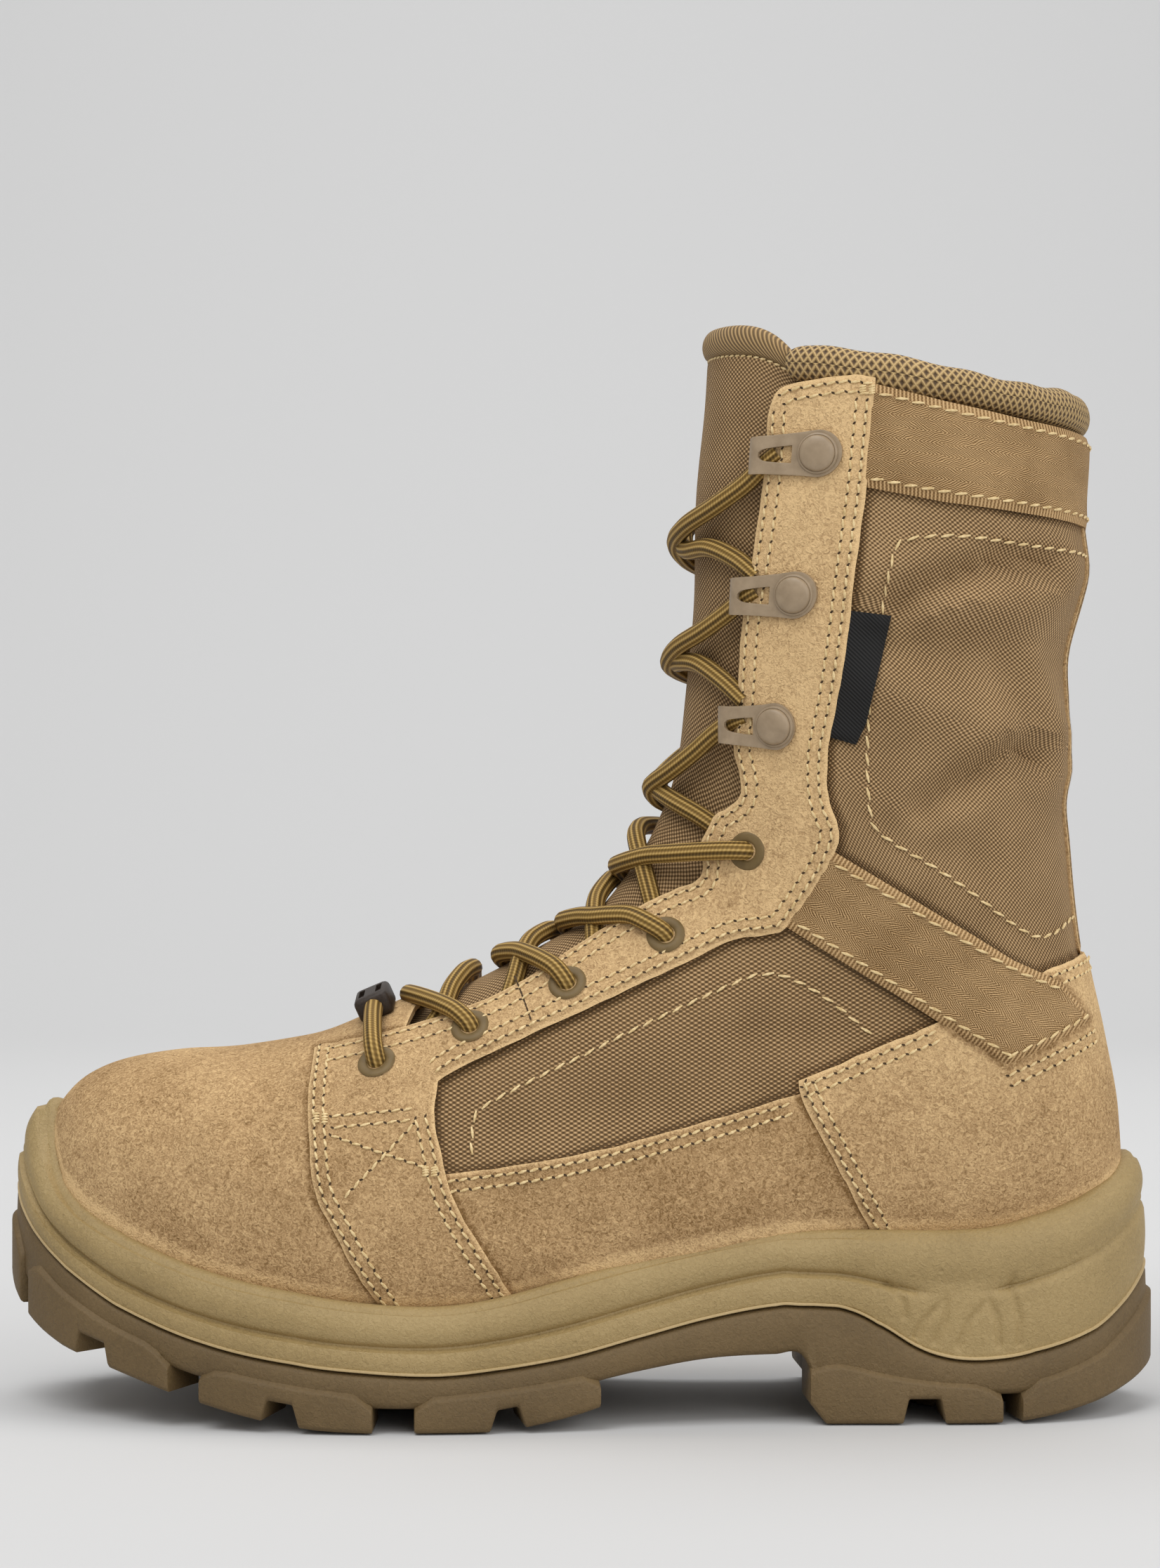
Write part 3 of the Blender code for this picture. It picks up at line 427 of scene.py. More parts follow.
# The tongue's cloth is set darker than the shaft's: partly its dyed colour, partly painted shade where the
# laces lie over it.
for name, pitch, dye_and_shade in (("shaft_nylon", 0.72, 0.17), ("tongue_cloth", 0.74, 0.24)):
    tree = new_material(name)
    threads = use(tree, weave, {"Cloth": place_of(tree, "cloth"), "Thread": pitch})
    slow = use(tree, mottle, {"Place": place_of(tree), "Size": 55.0})
    tone = sum_up(tree, "SUBTRACT", threads["Height"], dye_and_shade)
    tone = sum_up(tree, "MULTIPLY_ADD", slow["Tone"], 0.4, tone)
    if name == "shaft_nylon":
        # Painted shade: the nylon is darkened within about 2 mm of the edges of the panels that lie on it,
        # read from the seam attribute.
        shadow = fade(tree, marked(tree, "seam"), 0.2, 2.2, 0.55, 0.0)
        # Painted shade: the nylon low on the wall, below about 12 cm, is darkened as if less lit.
        place = add_node(tree, "ShaderNodeSeparateXYZ", {0: place_of(tree)})
        low_quarter_shade = fade(tree, place.outputs["Z"], 0.112, 0.124, 0.12, 0.0)
        tone = sum_up(tree, "SUBTRACT", sum_up(tree, "SUBTRACT", tone, shadow), low_quarter_shade)
    colour = ramp(tree, tone, NYLON_TONES)
    finish_of(name, colour, 0.75, threads["Height"], 0.6, 0.0004, Specular_IOR_Level=0.25)

tree = new_material("lining_cloth")
threads = use(tree, weave, {"Cloth": place_of(tree, "cloth"), "Thread": 1.8})
colour = ramp(tree, threads["Height"], [(0.1, (0.06, 0.036, 0.016)), (0.9, (0.2, 0.125, 0.062))])
lining = finish_of("lining_cloth", colour, 0.85, threads["Height"], 0.4, 0.0005)

UPPER_COLUMNS, UPPER_ROWS = 180, 168
SHAFT_SLOPE = 0.13
upper, share = grid("upper_wall", UPPER_COLUMNS, UPPER_ROWS)
row, angle = share[:, 1] * COLLAR_ROW, share[:, 0] * 360
points = skin(row, angle, 0.0)
put(upper, points)
ring = points.reshape(UPPER_ROWS + 1, UPPER_COLUMNS + 1, 3)
around = np.cumsum(np.linalg.norm(np.diff(ring, axis=1, prepend=ring[:, :1]), axis=-1), axis=1)
around = (around - around[:, [UPPER_COLUMNS // 2]]).ravel()
THROAT = np.array(
    [
        (56, 272), (51, 258), (50.5, 245), (48, 225), (45, 205), (44, 185), (43, 174), (45, 166),
        (45, 158), (40, 154), (36, 148), (37, 139), (34, 135), (25, 132), (14, 126), (0, 117),
        (-18, 105.5), (-39, 98), (-58, 95), (-68, 120), (0, 300), (56, 300),
    ]
)


def within(loop, spots):
    """Which flat points lie inside a closed outline."""
    inside = np.zeros(len(spots), bool)
    for start, stop in zip(loop, np.roll(loop, -1, 0)):
        crosses = (start[1] > spots[:, 1]) != (stop[1] > spots[:, 1])
        rise = stop[1] - start[1]
        reach = start[0] + (spots[:, 1] - start[1]) * (stop[0] - start[0]) / (rise if rise else 1)
        inside ^= crosses & (spots[:, 0] < reach)
    return inside


numbers = face_corners(upper)
middles = points[numbers].mean(1)
shaft = middles[:, 2] > 133 - (middles[:, 0] - 61) * 0.385
shaft_map = np.stack([around, points[:, 2] + SHAFT_SLOPE * points[:, 0]], -1)
quarter_map = points[:, [0, 2]] * (0.74, 1.0)
layer = upper.data.uv_layers.new(name="cloth")
mapped = np.where(shaft[:, None, None], shaft_map[numbers], quarter_map[numbers])
layer.data.foreach_set("uv", np.ascontiguousarray(mapped, np.float32).ravel())
drop_faces(upper, within(THROAT, middles[:, [0, 2]]))
close_seams()
upper.data.materials.append(bpy.data.materials["shaft_nylon"])
upper.data.materials.append(lining)
upper_form = BVHTree.FromPolygons(
    [tuple(spot * 1000) for spot in corners_of(upper)],
    [tuple(face.vertices) for face in upper.data.polygons],
)
thicken(upper, WALL, False)
settle(upper, "nylon_brown", "upper")

# Suede panels: vamp, foxing, eyestays with their straps, heel counter and back stay. Each is cut
# from split hide, laid over the wall, and shows a raw paler edge. The toe and foxing lie lowest.
nap, taken, given = effect("suede_nap", [("Place", "NodeSocketVector")], ["Tone"])
fibre = add_node(
    nap,
    "ShaderNodeTexNoise",
    {"Vector": taken["Place"], "Scale": 1900.0, "Detail": 2.0, "Distortion": 0.8},
)
curl = add_node(
    nap,
    "ShaderNodeTexNoise",
    {"Vector": taken["Place"], "Scale": 800.0, "Detail": 1.0, "Roughness": 0.5, "Distortion": 1.6},
)
mixed = sum_up(nap, "MULTIPLY", fibre.outputs["Fac"], 0.4)
mixed = sum_up(nap, "MULTIPLY_ADD", curl.outputs["Fac"], 0.6, mixed)
nap.links.new(mixed, given["Tone"])

tree = new_material("tan_suede")
spot = place_of(tree)
fibres = use(tree, nap, {"Place": spot})
slow = use(tree, mottle, {"Place": spot, "Size": 34.0})
tone = sum_up(
    tree,
    "ADD",
    sum_up(tree, "MULTIPLY_ADD", fibres["Tone"], 2.0, -1.0),
    sum_up(tree, "MULTIPLY_ADD", slow["Tone"], 0.75, 0.125),
)
raw = fade(tree, marked(tree, "edge"), 0.2, 1.1, 0.48, 0.0)
# Painted shade: the hide is darkened within about 1.7 mm of the edges of the panels that lie on it, read
# from the seam attribute.
shadow = fade(tree, marked(tree, "seam"), 0.2, 1.7, 0.55, 0.0)
tone = sum_up(tree, "SUBTRACT", sum_up(tree, "ADD", tone, raw), shadow)
# The tone attribute adds each panel's hide tone, with light and shade painted by height on some panels.
tone = sum_up(tree, "ADD", tone, marked(tree, "tone"))
colour = ramp(
    tree, tone, [(0.0, (0.2, 0.112, 0.042)), (0.5, (0.45, 0.29, 0.142)), (1.0, (0.71, 0.492, 0.252))]
)
suede = finish_of("tan_suede", colour, 0.95, fibres["Tone"], 0.9, 0.0007, Specular_IOR_Level=0.12)

# About how many millimetres a row and a degree of the last take up, and a panel's thickness.
ROW_MM, ANGLE_MM = 14.0, 0.75
PANEL = 1.5
field_row, field_angle = np.meshgrid(np.arange(0.3, 23.9, 0.05), np.arange(1, 180, 1.0), indexing="ij")
field = last_point(field_row, field_angle)[..., [0, 2]].reshape(-1, 2)


def filled(line, step):
    """A line with points every few millimetres."""
    line = np.array(line, float)
    parts = []
    for start, stop in zip(line, line[1:]):
        count = max(int(np.linalg.norm(stop - start) / step), 1)
        parts.append(start + (stop - start) * (np.arange(count) / count)[:, None])
    return np.concatenate([*parts, line[-1:]])


def rounded(line, times=2):
    """A line with its corners taken off."""
    line = np.array(line, float)
    for _ in range(times):
        inner = np.stack([line[:-1] * 0.75 + line[1:] * 0.25, line[:-1] * 0.25 + line[1:] * 0.75], 1)
        line = np.concatenate([line[:1], inner.reshape(-1, 2)[1:-1], line[-1:]])
    return line


def on_side(line, step=2.0):
    """Rows and angles of a side-view line of x and z."""
    goal = filled(line, step)
    near = [((field - spot) ** 2).sum(1).argmin() for spot in goal]
    row, angle = field_row.ravel()[near], field_angle.ravel()[near]
    for _ in range(6):
        here = last_point(row, angle)[:, [0, 2]]
        by_row = (last_point(row + 0.01, angle)[:, [0, 2]] - here) / 0.01
        by_angle = (last_point(row, angle + 0.1)[:, [0, 2]] - here) / 0.1
        miss = goal - here
        area = by_row[:, 0] * by_angle[:, 1] - by_row[:, 1] * by_angle[:, 0]
        area = np.where(np.abs(area) < 0.02, 0.02, area)
        move = (miss[:, 0] * by_angle[:, 1] - miss[:, 1] * by_angle[:, 0]) / area
        turn = (by_row[:, 0] * miss[:, 1] - by_row[:, 1] * miss[:, 0]) / area
        row = np.clip(row + np.clip(move, -0.3, 0.3), 0.1, 23.8)
        angle = np.clip(angle + np.clip(turn, -6, 6), 0.5, 179.5)
    return np.stack([row, angle], -1)


def nearest(loops, spots):
    """The closest points on closed outlines."""
    start = np.concatenate(loops)
    run = np.concatenate([np.roll(loop, -1, 0) - loop for loop in loops])
    size = np.maximum((run**2).sum(1), 1e-9)
    found = []
    for spot in spots:
        share = np.clip(((spot - start) * run).sum(1) / size, 0, 1)
        places = start + run * share[:, None]
        found.append(places[((places - spot) ** 2).sum(1).argmin()])
    return np.array(found)


def cut_sheet(name, loops, cell):
    """A flat sheet of even cells trimmed to closed outlines. Returns its corners and its edge."""
    every = np.concatenate(loops)
    low, high = every.min(0), every.max(0)
    count = np.maximum(np.ceil((high - low) / cell).astype(int), 2)
    piece, share = grid(name, int(count[0]), int(count[1]))
    spots = low + share * (high - low)
    put(piece, np.pad(spots, ((0, 0), (0, 1))) * 1000)
    middles = spots[face_corners(piece)].mean(1)
    inside = np.zeros(len(middles), bool)
    for loop in loops:
        inside ^= within(loop, middles)
    drop_faces(piece, ~inside)
    spots = corners_of(piece)[:, :2]
    pairs = np.empty(len(piece.data.edges) * 2, int)
    piece.data.edges.foreach_get("vertices", pairs)
    pairs = pairs.reshape(-1, 2)
    sides = np.empty(len(piece.data.loops), int)
    piece.data.loops.foreach_get("edge_index", sides)
    rim = np.unique(pairs[np.bincount(sides, minlength=len(pairs)) == 1])
    spots[rim] = nearest(loops, spots[rim])
    free = np.ones(len(spots), bool)
    free[rim] = False
    both = np.concatenate([pairs, pairs[:, ::-1]])
    number = np.bincount(both[:, 0], minlength=len(spots))[:, None]
    for _ in range(6):
        total = np.zeros_like(spots)
        np.add.at(total, both[:, 0], spots[both[:, 1]])
        spots[free] = (total / number)[free]
    return piece, spots, rim


def edge_gaps(points, rim):
    """Each point's distance to the edge."""
    tree = kdtree.KDTree(len(rim))
    for number, spot in enumerate(points[rim]):
        tree.insert(spot, number)
    tree.balance()
    return np.array([tree.find(spot)[2] for spot in points])


def painted_shade_gaps(points, lines):
    """Each point's distance in side view to the edges of the panels that lie on it, along which shade is
    painted.
    """
    gaps = np.full(len(points), 99.0)
    for line in lines:
        for start, stop in zip(line, line[1:]):
            gaps = np.minimum(gaps, line_gap(points[:, [0, 2]], start, stop))
    return gaps


def wrap(name, outline, low, high, cell=1.5, ragged=0.0, seams=(), tone=0.0):
    """A panel laid on the last. The outline is in rows and angles, high may be a function, and shade is
    painted along the seams.
    """
    outline = np.array(outline) * (ROW_MM, ANGLE_MM)
    along = np.roll(outline, -1, 0) - np.roll(outline, 1, 0)
    along /= np.maximum(np.linalg.norm(along, axis=1, keepdims=True), 1e-9)
    run = np.cumsum(np.linalg.norm(np.diff(outline, axis=0, prepend=outline[:1]), axis=1))
    shake = ragged * (np.sin(run * 1.1) + np.sin(run * 0.67 + 2) + np.sin(run * 0.29 + 4)) / 2
    outline = outline + np.stack([-along[:, 1], along[:, 0]], -1) * shake[:, None]
    piece, spots, rim = cut_sheet(name, [outline], cell)
    row, angle = spots[:, 0] / ROW_MM, spots[:, 1] / ANGLE_MM
    base = last_point(row, angle)
    gaps = edge_gaps(base, rim)
    top = high(base) if callable(high) else high
    lift = low + (top - low) * (0.62 + 0.38 * np.sqrt(1 - np.clip(1 - gaps / 1.3, 0, 1) ** 2))
    put(piece, skin(row, angle, lift))
    numbers = face_corners(piece)
    normals = np.empty(len(piece.data.polygons) * 3)
    piece.data.polygons.foreach_get("normal", normals)
    outward = last_normal(row, angle)[numbers[:, 0]]
    if (normals.reshape(-1, 3) * outward).sum() < 0:
        piece.data.flip_normals()
    give(piece, "edge", gaps)
    # The seam attribute is the distance from which the painted shade beside overlying panels is read.
    give(piece, "seam", painted_shade_gaps(base, seams))
    # The tone attribute holds the panel's hide tone, with light and shade painted by height on some panels.
    give(piece, "tone", tone(base) if callable(tone) else np.full(len(base), tone))
    chart(piece, base[:, [0, 2]])
    thicken(piece, PANEL, True)
    return piece


def other_side(outline):
    return np.array(outline) * (1, -1)


def round_back(outline):
    """An outer outline that ends at the back, joined to its copy on the inner side."""
    outline = np.array(outline)
    return np.concatenate([outline, (outline * (1, -1) + (0, 360))[::-1]])


# Columns: x, z. The rim is the midsole's top edge, which hides the lower edges of the panels.
RIM = np.array(
    [
        (-141.6, 80), (-139, 70), (-136, 60.5), (-129, 53.5), (-116, 46.8), (-96, 39.2), (-73, 34.5),
        (-55, 32), (-37, 31.2), (-22, 33), (-4, 37.5), (13, 41.8), (32, 45.7), (50, 48.6), (62, 49.2),
        (76, 49.2), (96, 49), (106, 49.5), (117, 51.8), (131, 56.5), (138.5, 61), (142.5, 64.5), (145, 66.5),
    ]
)


def under_rim(start, stop, count):
    """A line just below the midsole's rim."""
    places = np.linspace(start, stop, count)
    return np.stack([places, np.interp(places, RIM[:, 0], RIM[:, 1]) - 2.2], -1)


STAY_TOP = [
    (49, 260), (49.9, 263.2), (51.5, 266), (54.8, 267.5), (58.1, 267.9), (68.8, 269.3), (75.3, 268.2),
]
STAY_REAR = [
    (75.1, 262.2), (73.2, 240.9), (71.4, 228), (67.7, 194), (64.3, 176.3), (63.6, 173), (63.6, 161),
    (67, 153), (66.5, 148.4), (62.7, 140), (54, 127.5), (51.3, 125.2), (40, 124), (30.8, 119.2),
    (-1.8, 104), (-19, 96), (-32.8, 89.8), (-36.7, 87),
]
STAY_FRONT = [
    (49, 260), (48.2, 245.7), (45.5, 225), (42.3, 205), (41.4, 185), (40.1, 173.7), (42.3, 165.8),
    (42.4, 161), (39, 158), (35.6, 156.5), (34, 152.6), (31.4, 148), (32.4, 143.5), (31.6, 138.5),
    (23.9, 135.9), (13, 130), (-1.6, 120.4), (-19.3, 109), (-40.2, 101), (-67.6, 94),
]
STRAP_FRONT = [
    (-69.8, 93.4), (-70.6, 81), (-69.8, 72.2), (-68.4, 59.4), (-63.4, 50.6), (-57.8, 40.3), (-50.2, 29.6),
]
STRAP_REAR = [(-36.7, 87), (-38.1, 78.6), (-35.1, 65.5), (-33.1, 58.5), (-25.1, 45), (-16.5, 32)]
FOXING_TOP = [(-50, 63.5), (-35.1, 64.4), (-5.2, 68.1), (31.2, 77.2), (53.2, 83.7), (68, 87.5)]
COUNTER_FRONT = [(55.6, 87.7), (55.4, 84.8), (63.8, 68.7), (75.8, 47)]
COUNTER_TOP = [(55.6, 87.7), (66.6, 92.1), (79.1, 97.5), (90.9, 102.5), (119.6, 115.7), (131.8, 119.5)]

VAMP_HIGH, FOXING_HIGH, STAY_HIGH, COUNTER_HIGH = 1.2, 1.2, 2.7, 2.6


def fuzz_tone(base):
    """Rubbed fibres make the hide paler just above the midsole's rim."""
    above = base[:, 2] - np.interp(base[:, 0], RIM[:, 0], RIM[:, 1])
    return np.interp(above, [2.0, 2.8, 4.0], [0.46, 0.34, 0.0])


def toe_shade_and_wear(base):
    """Painted shade: the hide is darker low on the toe's sides than on its top, as under light from above.
    """
    return np.interp(base[:, 2], [35, 60, 90], [-0.07, 0.0, 0.0]) + fuzz_tone(base)


def foxing_tone(base):
    """The foxing is set darkest of the panels."""
    return fuzz_tone(base) - 0.13


def counter_light_and_wear(base):
    """Painted light: the counter grows paler towards its top, as under light from above."""
    return np.interp(base[:, 2], [50, 75, 105], [-0.06, 0.05, 0.24]) + fuzz_tone(base)


throat_base = [(8.62, 0), (8.6, 8), (8.45, 17)]
vamp_line = on_side([(-47, 97), (-53, 80), (-51, 60), (-43, 45), (-34, 29.5)])
vamp_rim = on_side(under_rim(-36, -136, 40))
vamp_edge = np.concatenate([throat_base, vamp_line, vamp_rim, [(1.4, 70), (0.9, 40)]])
vamp = wrap(
    "vamp_suede",
    np.concatenate([vamp_edge, other_side(vamp_edge)[::-1]]),
    0.0,
    VAMP_HIGH,
    1.6,
    seams=[STRAP_FRONT, STAY_FRONT[-3:]],
    tone=toe_shade_and_wear,
)

foxing_edge = np.concatenate(
    [on_side(rounded(FOXING_TOP)), on_side([(80, 70), (86, 47.5)]), on_side(under_rim(80, -38, 30))]
)
foxing_outer, foxing_inner = (
    wrap(name, path, 0.0, FOXING_HIGH, ragged=0.1, seams=[STRAP_REAR, COUNTER_FRONT], tone=foxing_tone)
    for name, path in (
        ("foxing_outer_suede", foxing_edge),
        ("foxing_inner_suede", other_side(foxing_edge)),
    )
)

stay_edge = np.concatenate(
    [
        on_side(rounded(STAY_TOP, 1)),
        on_side(rounded(STAY_REAR, 1)),
        on_side(rounded(STRAP_REAR, 1)),
        on_side([(-35, 29), (-50, 29.4)]),
        on_side(rounded(STRAP_FRONT[::-1], 1)),
        on_side(rounded(STAY_FRONT[::-1], 1))[:-1],
    ]
)


def stay_hide_shade_and_wear(base):
    """The eyestay is the palest hide, and its strap is darker towards the sole: partly the hide's tone,
    partly painted light and shade from above.
    """
    tone = np.interp(base[:, 2], [35, 60, 80, 100, 140, 240], [-0.16, -0.1, 0.02, 0.12, 0.26, 0.34])
    return tone + fuzz_tone(base)


eyestay_outer, eyestay_inner = (
    wrap(name, path, 0.0, STAY_HIGH, ragged=0.1, tone=stay_hide_shade_and_wear)
    for name, path in (("eyestay_outer_suede", stay_edge), ("eyestay_inner_suede", other_side(stay_edge)))
)

counter_edge = np.concatenate(
    [
        [(15.3, 180)],
        on_side(under_rim(138, 78, 30)),
        on_side(rounded(COUNTER_FRONT[::-1])),
        on_side(COUNTER_TOP[1:]),
        [(17.93, 180)],
    ]
)
ANKLE_TOP = [(60, 150.3), (66.8, 146.1), (100.5, 125.3), (110.5, 118.7), (122.8, 112.7)]
ANKLE_END = [(122.8, 112.7), (130.8, 102.5), (130.5, 101.5), (109.3, 91.8)]
ANKLE_LOW = [(109.3, 91.8), (96.7, 100), (81.3, 109.8), (54.8, 126.1), (48, 130.2)]
counter = wrap(
    "counter_suede",
    round_back(counter_edge),
    0.0,
    COUNTER_HIGH,
    ragged=0.1,
    seams=[ANKLE_TOP, ANKLE_END, ANKLE_LOW],
    tone=counter_light_and_wear,
)

strip_side = [(place, 167.8) for place in np.linspace(17.95, 21.85, 24)]
stay_strip = np.concatenate([[(17.9, 180)], strip_side, [(21.85, 180)]])
back_stay = wrap("back_stay_suede", round_back(stay_strip), 0.0, 1.1, 1.2, tone=-0.14)
for piece, node in (
    (vamp, "vamp"),
    (foxing_outer, "foxing_outer"),
    (foxing_inner, "foxing_inner"),
    (eyestay_outer, "eyestay"),
    (eyestay_inner, "eyestay"),
    (counter, "counter"),
    (back_stay, "back_stay"),
):
    piece.data.materials.append(suede)
    settle(piece, "suede_tan", node)

# Webbing: herringbone tape, a wide band round the collar and a strap over each ankle that runs from
# the eyestay to the heel counter. Its folded edges are whipped over with thick ribs of thread.
herringbone, taken, given = effect(
    "herringbone",
    [("Cloth", "NodeSocketVector"), ("Rib", "NodeSocketFloat"), ("Column", "NodeSocketFloat")],
    ["Height"],
)
apart = add_node(herringbone, "ShaderNodeSeparateXYZ", {0: taken["Cloth"]})
drift = add_node(
    herringbone, "ShaderNodeTexNoise", {"Vector": taken["Cloth"], "Scale": 0.3, "Detail": 2.0}
)
wander = sum_up(herringbone, "MULTIPLY_ADD", drift.outputs["Fac"], 1.6, apart.outputs["Y"])
fold = sum_up(herringbone, "FRACT", sum_up(herringbone, "DIVIDE", wander, taken["Column"]))
fold = sum_up(herringbone, "ABSOLUTE", sum_up(herringbone, "SUBTRACT", fold, 0.5))
fold = sum_up(herringbone, "MULTIPLY", sum_up(herringbone, "MULTIPLY", fold, taken["Column"]), 2.0)
phase = sum_up(herringbone, "DIVIDE", sum_up(herringbone, "ADD", apart.outputs["X"], fold), taken["Rib"])
wave = sum_up(herringbone, "SINE", sum_up(herringbone, "MULTIPLY", phase, 2 * math.pi))
herringbone.links.new(sum_up(herringbone, "MULTIPLY_ADD", wave, 0.5, 0.5), given["Height"])

tree = new_material("herringbone_tape")
cloth = place_of(tree, "cloth")
ribs = use(tree, herringbone, {"Cloth": cloth, "Rib": 1.05, "Column": 6.0})
grain = use(tree, weave, {"Cloth": cloth, "Thread": 0.5})
slow = use(tree, mottle, {"Place": place_of(tree), "Size": 60.0})
hem = fade(tree, marked(tree, "edge"), 2.0, 2.5, 1.0, 0.0)
apart = add_node(tree, "ShaderNodeSeparateXYZ", {0: cloth})
whip = sum_up(tree, "SINE", sum_up(tree, "MULTIPLY", apart.outputs["X"], 2 * math.pi / 1.05))
whip = sum_up(tree, "MULTIPLY_ADD", whip, 0.5, 0.5)
height = add_node(tree, "ShaderNodeMix", {0: hem, 2: ribs["Height"], 3: whip}, data_type="FLOAT")
height = height.outputs[0]
tone = sum_up(tree, "MULTIPLY_ADD", height, 0.8, sum_up(tree, "MULTIPLY", slow["Tone"], 0.7))
tone = sum_up(tree, "MULTIPLY_ADD", grain["Height"], 0.25, sum_up(tree, "SUBTRACT", tone, 0.37))
tone = sum_up(tree, "MULTIPLY_ADD", hem, 0.08, sum_up(tree, "ADD", tone, 0.05))
colour = ramp(
    tree, tone, [(0.05, (0.12, 0.063, 0.021)), (0.5, (0.34, 0.2, 0.082)), (0.95, (0.6, 0.4, 0.2))]
)
tape = finish_of("herringbone_tape", colour, 0.78, height, 0.6, 0.0006, Specular_IOR_Level=0.2)


def ankle_lift(base):
    """The strap climbs over the heel counter at its lower end."""
    return 1.8 + 2.2 * np.clip((base[:, 0] - 84) / 14, 0, 1)


strap_edge = np.concatenate([on_side(ANKLE_TOP), on_side(ANKLE_END), on_side(ANKLE_LOW)])
slope = np.array([(0.847, -0.532), (0.532, 0.847)])
straps = [
    wrap("ankle_strap_outer_tape", strap_edge, 0.0, ankle_lift, 1.3),
    wrap("ankle_strap_inner_tape", other_side(strap_edge), 0.0, ankle_lift, 1.3),
]
BAND_TOP = [(70, 268.5), (76.2, 266.4), (92.9, 262.2), (112.8, 258.2), (132.5, 255.6)]
BAND_LOW = [(132, 232.2), (92.8, 236.4), (73.1, 240.2), (67, 241.5)]
band_edge = np.concatenate([[(21.76, 180)], on_side(BAND_LOW), on_side(BAND_TOP), [(22.66, 180)]])
band = wrap("collar_band_tape", round_back(band_edge), 0.0, 1.9, 1.5)
# The nylon wall's seam attribute sets the painted shade beside the panels and tapes that lie on it.
give(
    upper,
    "seam",
    painted_shade_gaps(
        corners_of(upper) * 1000,
        [STAY_REAR, STRAP_REAR, FOXING_TOP, COUNTER_TOP, ANKLE_TOP, ANKLE_LOW, BAND_LOW],
    ),
)
for piece, node in (
    (straps[0], "ankle_strap_outer"),
    (straps[1], "ankle_strap_inner"),
    (band, "collar_band"),
):
    spots = corners_of(piece) * 1000
    if piece is band:
        flat = np.degrees(np.arctan2(spots[:, 1], spots[:, 0] - 85)) * 0.83
        chart(piece, np.stack([flat, spots[:, 2] + SHAFT_SLOPE * spots[:, 0]], -1))
    else:
        chart(piece, spots[:, [0, 2]] @ slope.T)
    piece.data.materials.append(tape)
    settle(piece, "webbing_brown", node)

# Label: a plain black ribbon woven with slanted ribs. It lies flat on the outer side of the shaft,
# with its front edge caught under the eyestay.
tree = new_material("black_ribbon")
cloth = add_node(tree, "ShaderNodeSeparateXYZ", {0: place_of(tree, "cloth")})
phase = sum_up(tree, "ADD", cloth.outputs["X"], cloth.outputs["Y"])
ribs = sum_up(tree, "SINE", sum_up(tree, "MULTIPLY", phase, 6.0))
tone = sum_up(tree, "MULTIPLY_ADD", ribs, 0.5, 0.5)
colour = ramp(tree, tone, [(0.0, (0.006, 0.006, 0.006)), (1.0, (0.024, 0.023, 0.022))])
ribbon = finish_of("black_ribbon", colour, 0.7, ribs, 0.4, 0.0003, Specular_IOR_Level=0.2)
label_edge = on_side(
    [(65, 209.5), (69.2, 208.8), (79.4, 207.4), (73.1, 179.7), (70.6, 174.4), (60, 177.6), (65, 209.5)]
)
label = wrap("plain_label", label_edge[:-1], 0.0, 1.7, 1.0)
label.data.materials.append(ribbon)
settle(label, "label_black", "label")

# Tongue: padded nylon that lies under both sides of the throat, with a roll of diagonal twill
# sewn over its top edge. Columns: row, lift, half width as an angle.
tree = new_material("twill_cap")
cloth = add_node(tree, "ShaderNodeSeparateXYZ", {0: place_of(tree, "cloth")})
phase = sum_up(tree, "MULTIPLY_ADD", cloth.outputs["Y"], 0.9, cloth.outputs["X"])
ribs = sum_up(tree, "MULTIPLY_ADD", sum_up(tree, "SINE", sum_up(tree, "MULTIPLY", phase, 4.2)), 0.5, 0.5)
colour = ramp(
    tree, ribs, [(0.1, (0.12, 0.07, 0.023)), (0.55, (0.28, 0.168, 0.062)), (1.0, (0.45, 0.295, 0.125))]
)
twill = finish_of("twill_cap", colour, 0.7, ribs, 0.6, 0.0006)
TONGUE_LINE = np.array(
    [
        (7.6, -4.6, 36), (8.3, -3.2, 42), (9, -2.0, 46), (10, -1.7, 48), (11, -1.7, 50), (12, -1.8, 53),
        (13.5, -2.2, 57), (15, -3.0, 60), (16.5, -3.3, 63), (18, -3.4, 66), (19.5, -3.3, 67), (21, -3.2, 66),
        (22.2, -3.1, 62), (22.82, -3.2, 58), (22.9, -3.8, 57.5), (22.94, -2.5, 57), (23.03, -1.8, 56),
        (23.12, -2.1, 55), (23.19, -3.3, 54), (23.21, -5.0, 54), (23.17, -6.6, 54), (23.04, -7.9, 55),
        (22.7, -8.0, 58), (22, -7.9, 62), (20, -7.8, 66), (17, -7.8, 64), (14, -7.8, 58),
    ]
)
TONGUE_COLUMNS, TONGUE_ROWS = 72, 208
CAP_START, CAP_STOP, CAP_SEAM = 14, 22, 110
tongue, share = grid("tongue_pad", TONGUE_COLUMNS, TONGUE_ROWS)
along = share[:, 1] * (len(TONGUE_LINE) - 1)
row, lift, reach = np.moveaxis(row_of(TONGUE_LINE, along), -1, 0)
side = share[:, 0] * 2 - 1
row = row + np.clip((row - 21.2) / 1.6, 0, 1) * (0.1 * side**2 - 0.34 * side**6)
lift = -5.6 + (lift + 5.6) * np.sqrt(1 - np.abs(side) ** 6 * 0.98)
base = last_point(row, side * reach)
quilt = 0.5 * np.sin(base[:, 2] / 9.0) * (1 - side**2)
normals = last_normal(row, side * reach)
put(tongue, base + normals * (lift + quilt)[:, None])
tongue.data.flip_normals()
ring = (corners_of(tongue) * 1000).reshape(TONGUE_ROWS + 1, TONGUE_COLUMNS + 1, 3)
